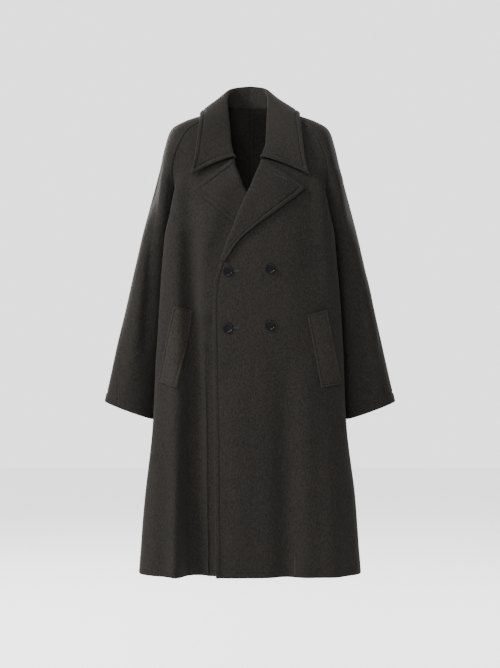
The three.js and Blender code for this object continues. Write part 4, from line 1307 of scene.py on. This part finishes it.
def build_studio(material):
    """The paper floor and the light that comes from all round."""
    bpy.ops.object.select_all(action="DESELECT")
    bpy.ops.mesh.primitive_plane_add(size=16, location=(0, 0, FLOOR_HEIGHT))
    floor = bpy.context.object
    floor.name = "studio_floor"
    floor.data.materials.append(material)
    bpy.ops.object.select_all(action="DESELECT")
    world = bpy.data.worlds.new("studio_air")
    world.use_nodes = True
    tree = world.node_tree
    # A white sweep behind the coat, brighter to the eye than the light that it gives.
    seen = add_node(tree, "ShaderNodeLightPath").outputs["Is Camera Ray"]
    glow = add_node(tree, "ShaderNodeMapRange", {"To Min": 0.5, "To Max": 2.25}, {"Value": seen})
    tree.nodes["Background"].inputs["Color"].default_value = linear("#ffffff")
    tree.links.new(glow.outputs["Result"], tree.nodes["Background"].inputs["Strength"])
    bpy.context.scene.world = world


def soft_light(name, place, aim, size, power):
    """A square lamp that faces its aim."""
    lamp = bpy.data.lights.new(name, "AREA")
    lamp.shape = "SQUARE"
    lamp.size = size
    lamp.energy = power
    light = bpy.data.objects.new(name, lamp)
    bpy.context.scene.collection.objects.link(light)
    light.location = place
    direction = np.array(aim) - np.array(place)
    light.rotation_euler = Vector(direction).to_track_quat("-Z", "Y").to_euler()


def build_camera():
    """A level camera straight in front."""
    data = bpy.data.cameras.new("view_from_the_front")
    data.lens = LENS
    data.sensor_width = SENSOR
    camera = bpy.data.objects.new("view_from_the_front", data)
    bpy.context.scene.collection.objects.link(camera)
    camera.location = CAMERA_PLACE
    camera.rotation_euler = (math.pi / 2, 0, 0)
    bpy.context.scene.camera = camera


build_camera()
PIECES, CLOTH = build_cloth()
# The fronts' top rows close up towards the neck, and nothing lies on them.
FACES = {side: FaceMap(PIECES[f"front_{name}"]["shown"][:-10]) for name, side in SIDES.items()}
WELTS = build_welts(FACES)
WOOL = wool_melton("wool_melton_brushed", "#12110f", "#23201d")
WELT_WOOL_PAINTED_LIGHTER = wool_melton("wool_melton_welt_painted_lighter", "#181613", "#2b2824")
# Lighter copy for the welts: painted highlight, for their nap cut across the grain catching more light.
for cloth in CLOTH.values():
    cloth.data.materials.append(WOOL)
for welt in WELTS.values():
    welt["made"].data.materials.append(WELT_WOOL_PAINTED_LIGHTER)
RESIN = button_resin()
GRAIN = grain_of_thread()
THREAD = sewing_thread("polyester_thread_spun", "#141313", "#232221")
# Near black twist for buttons and buttonholes; along each buttonhole's slit it is painted shadow.
TWIST_AND_SLIT_SHADOW = sewing_thread("buttonhole_twist_waxed_and_slit_shadow", "#060606", "#0e0d0d")
BUTTONS = [build_button(number, x, z, FACES[1], RESIN) for number, (x, z) in enumerate(BUTTON_PLACES, 1)]
button_threads(BUTTONS, TWIST_AND_SLIT_SHADOW, GRAIN)
SEAMS = edge_seams({**PIECES, **WELTS}, THREAD, GRAIN)
build_tacks(FACES, WELTS, THREAD, GRAIN)
for number, (x, z) in enumerate(BUTTON_PLACES[:2], 1):
    buttonhole(f"buttonhole_front_{number}", (x + 7, z + 0.5), (x + 25, z + 1), FACES[1], TWIST_AND_SLIT_SHADOW, GRAIN)
LEFT_LAPEL = FaceMap(lapel_face(PIECES["lapel_left"]))
buttonhole("buttonhole_lapel", (58, -181), (86, -195), LEFT_LAPEL, TWIST_AND_SLIT_SHADOW, GRAIN)
build_studio(studio_white())
soft_light("key_upper_left", (-2.9, -1.5, 1.5), (0, 0, -0.4), 1.1, 185)
soft_light("front_soft", (-0.5, -2.8, 1.2), (0, 0, -0.2), 1.1, 68)
soft_light("back_soft", (-1.7, 2.9, 1.3), (0, 0, -0.5), 1.4, 130)
soft_light("left_side_soft", (2.3, 2.5, 0.9), (0, 0, -0.5), 1.4, 65)
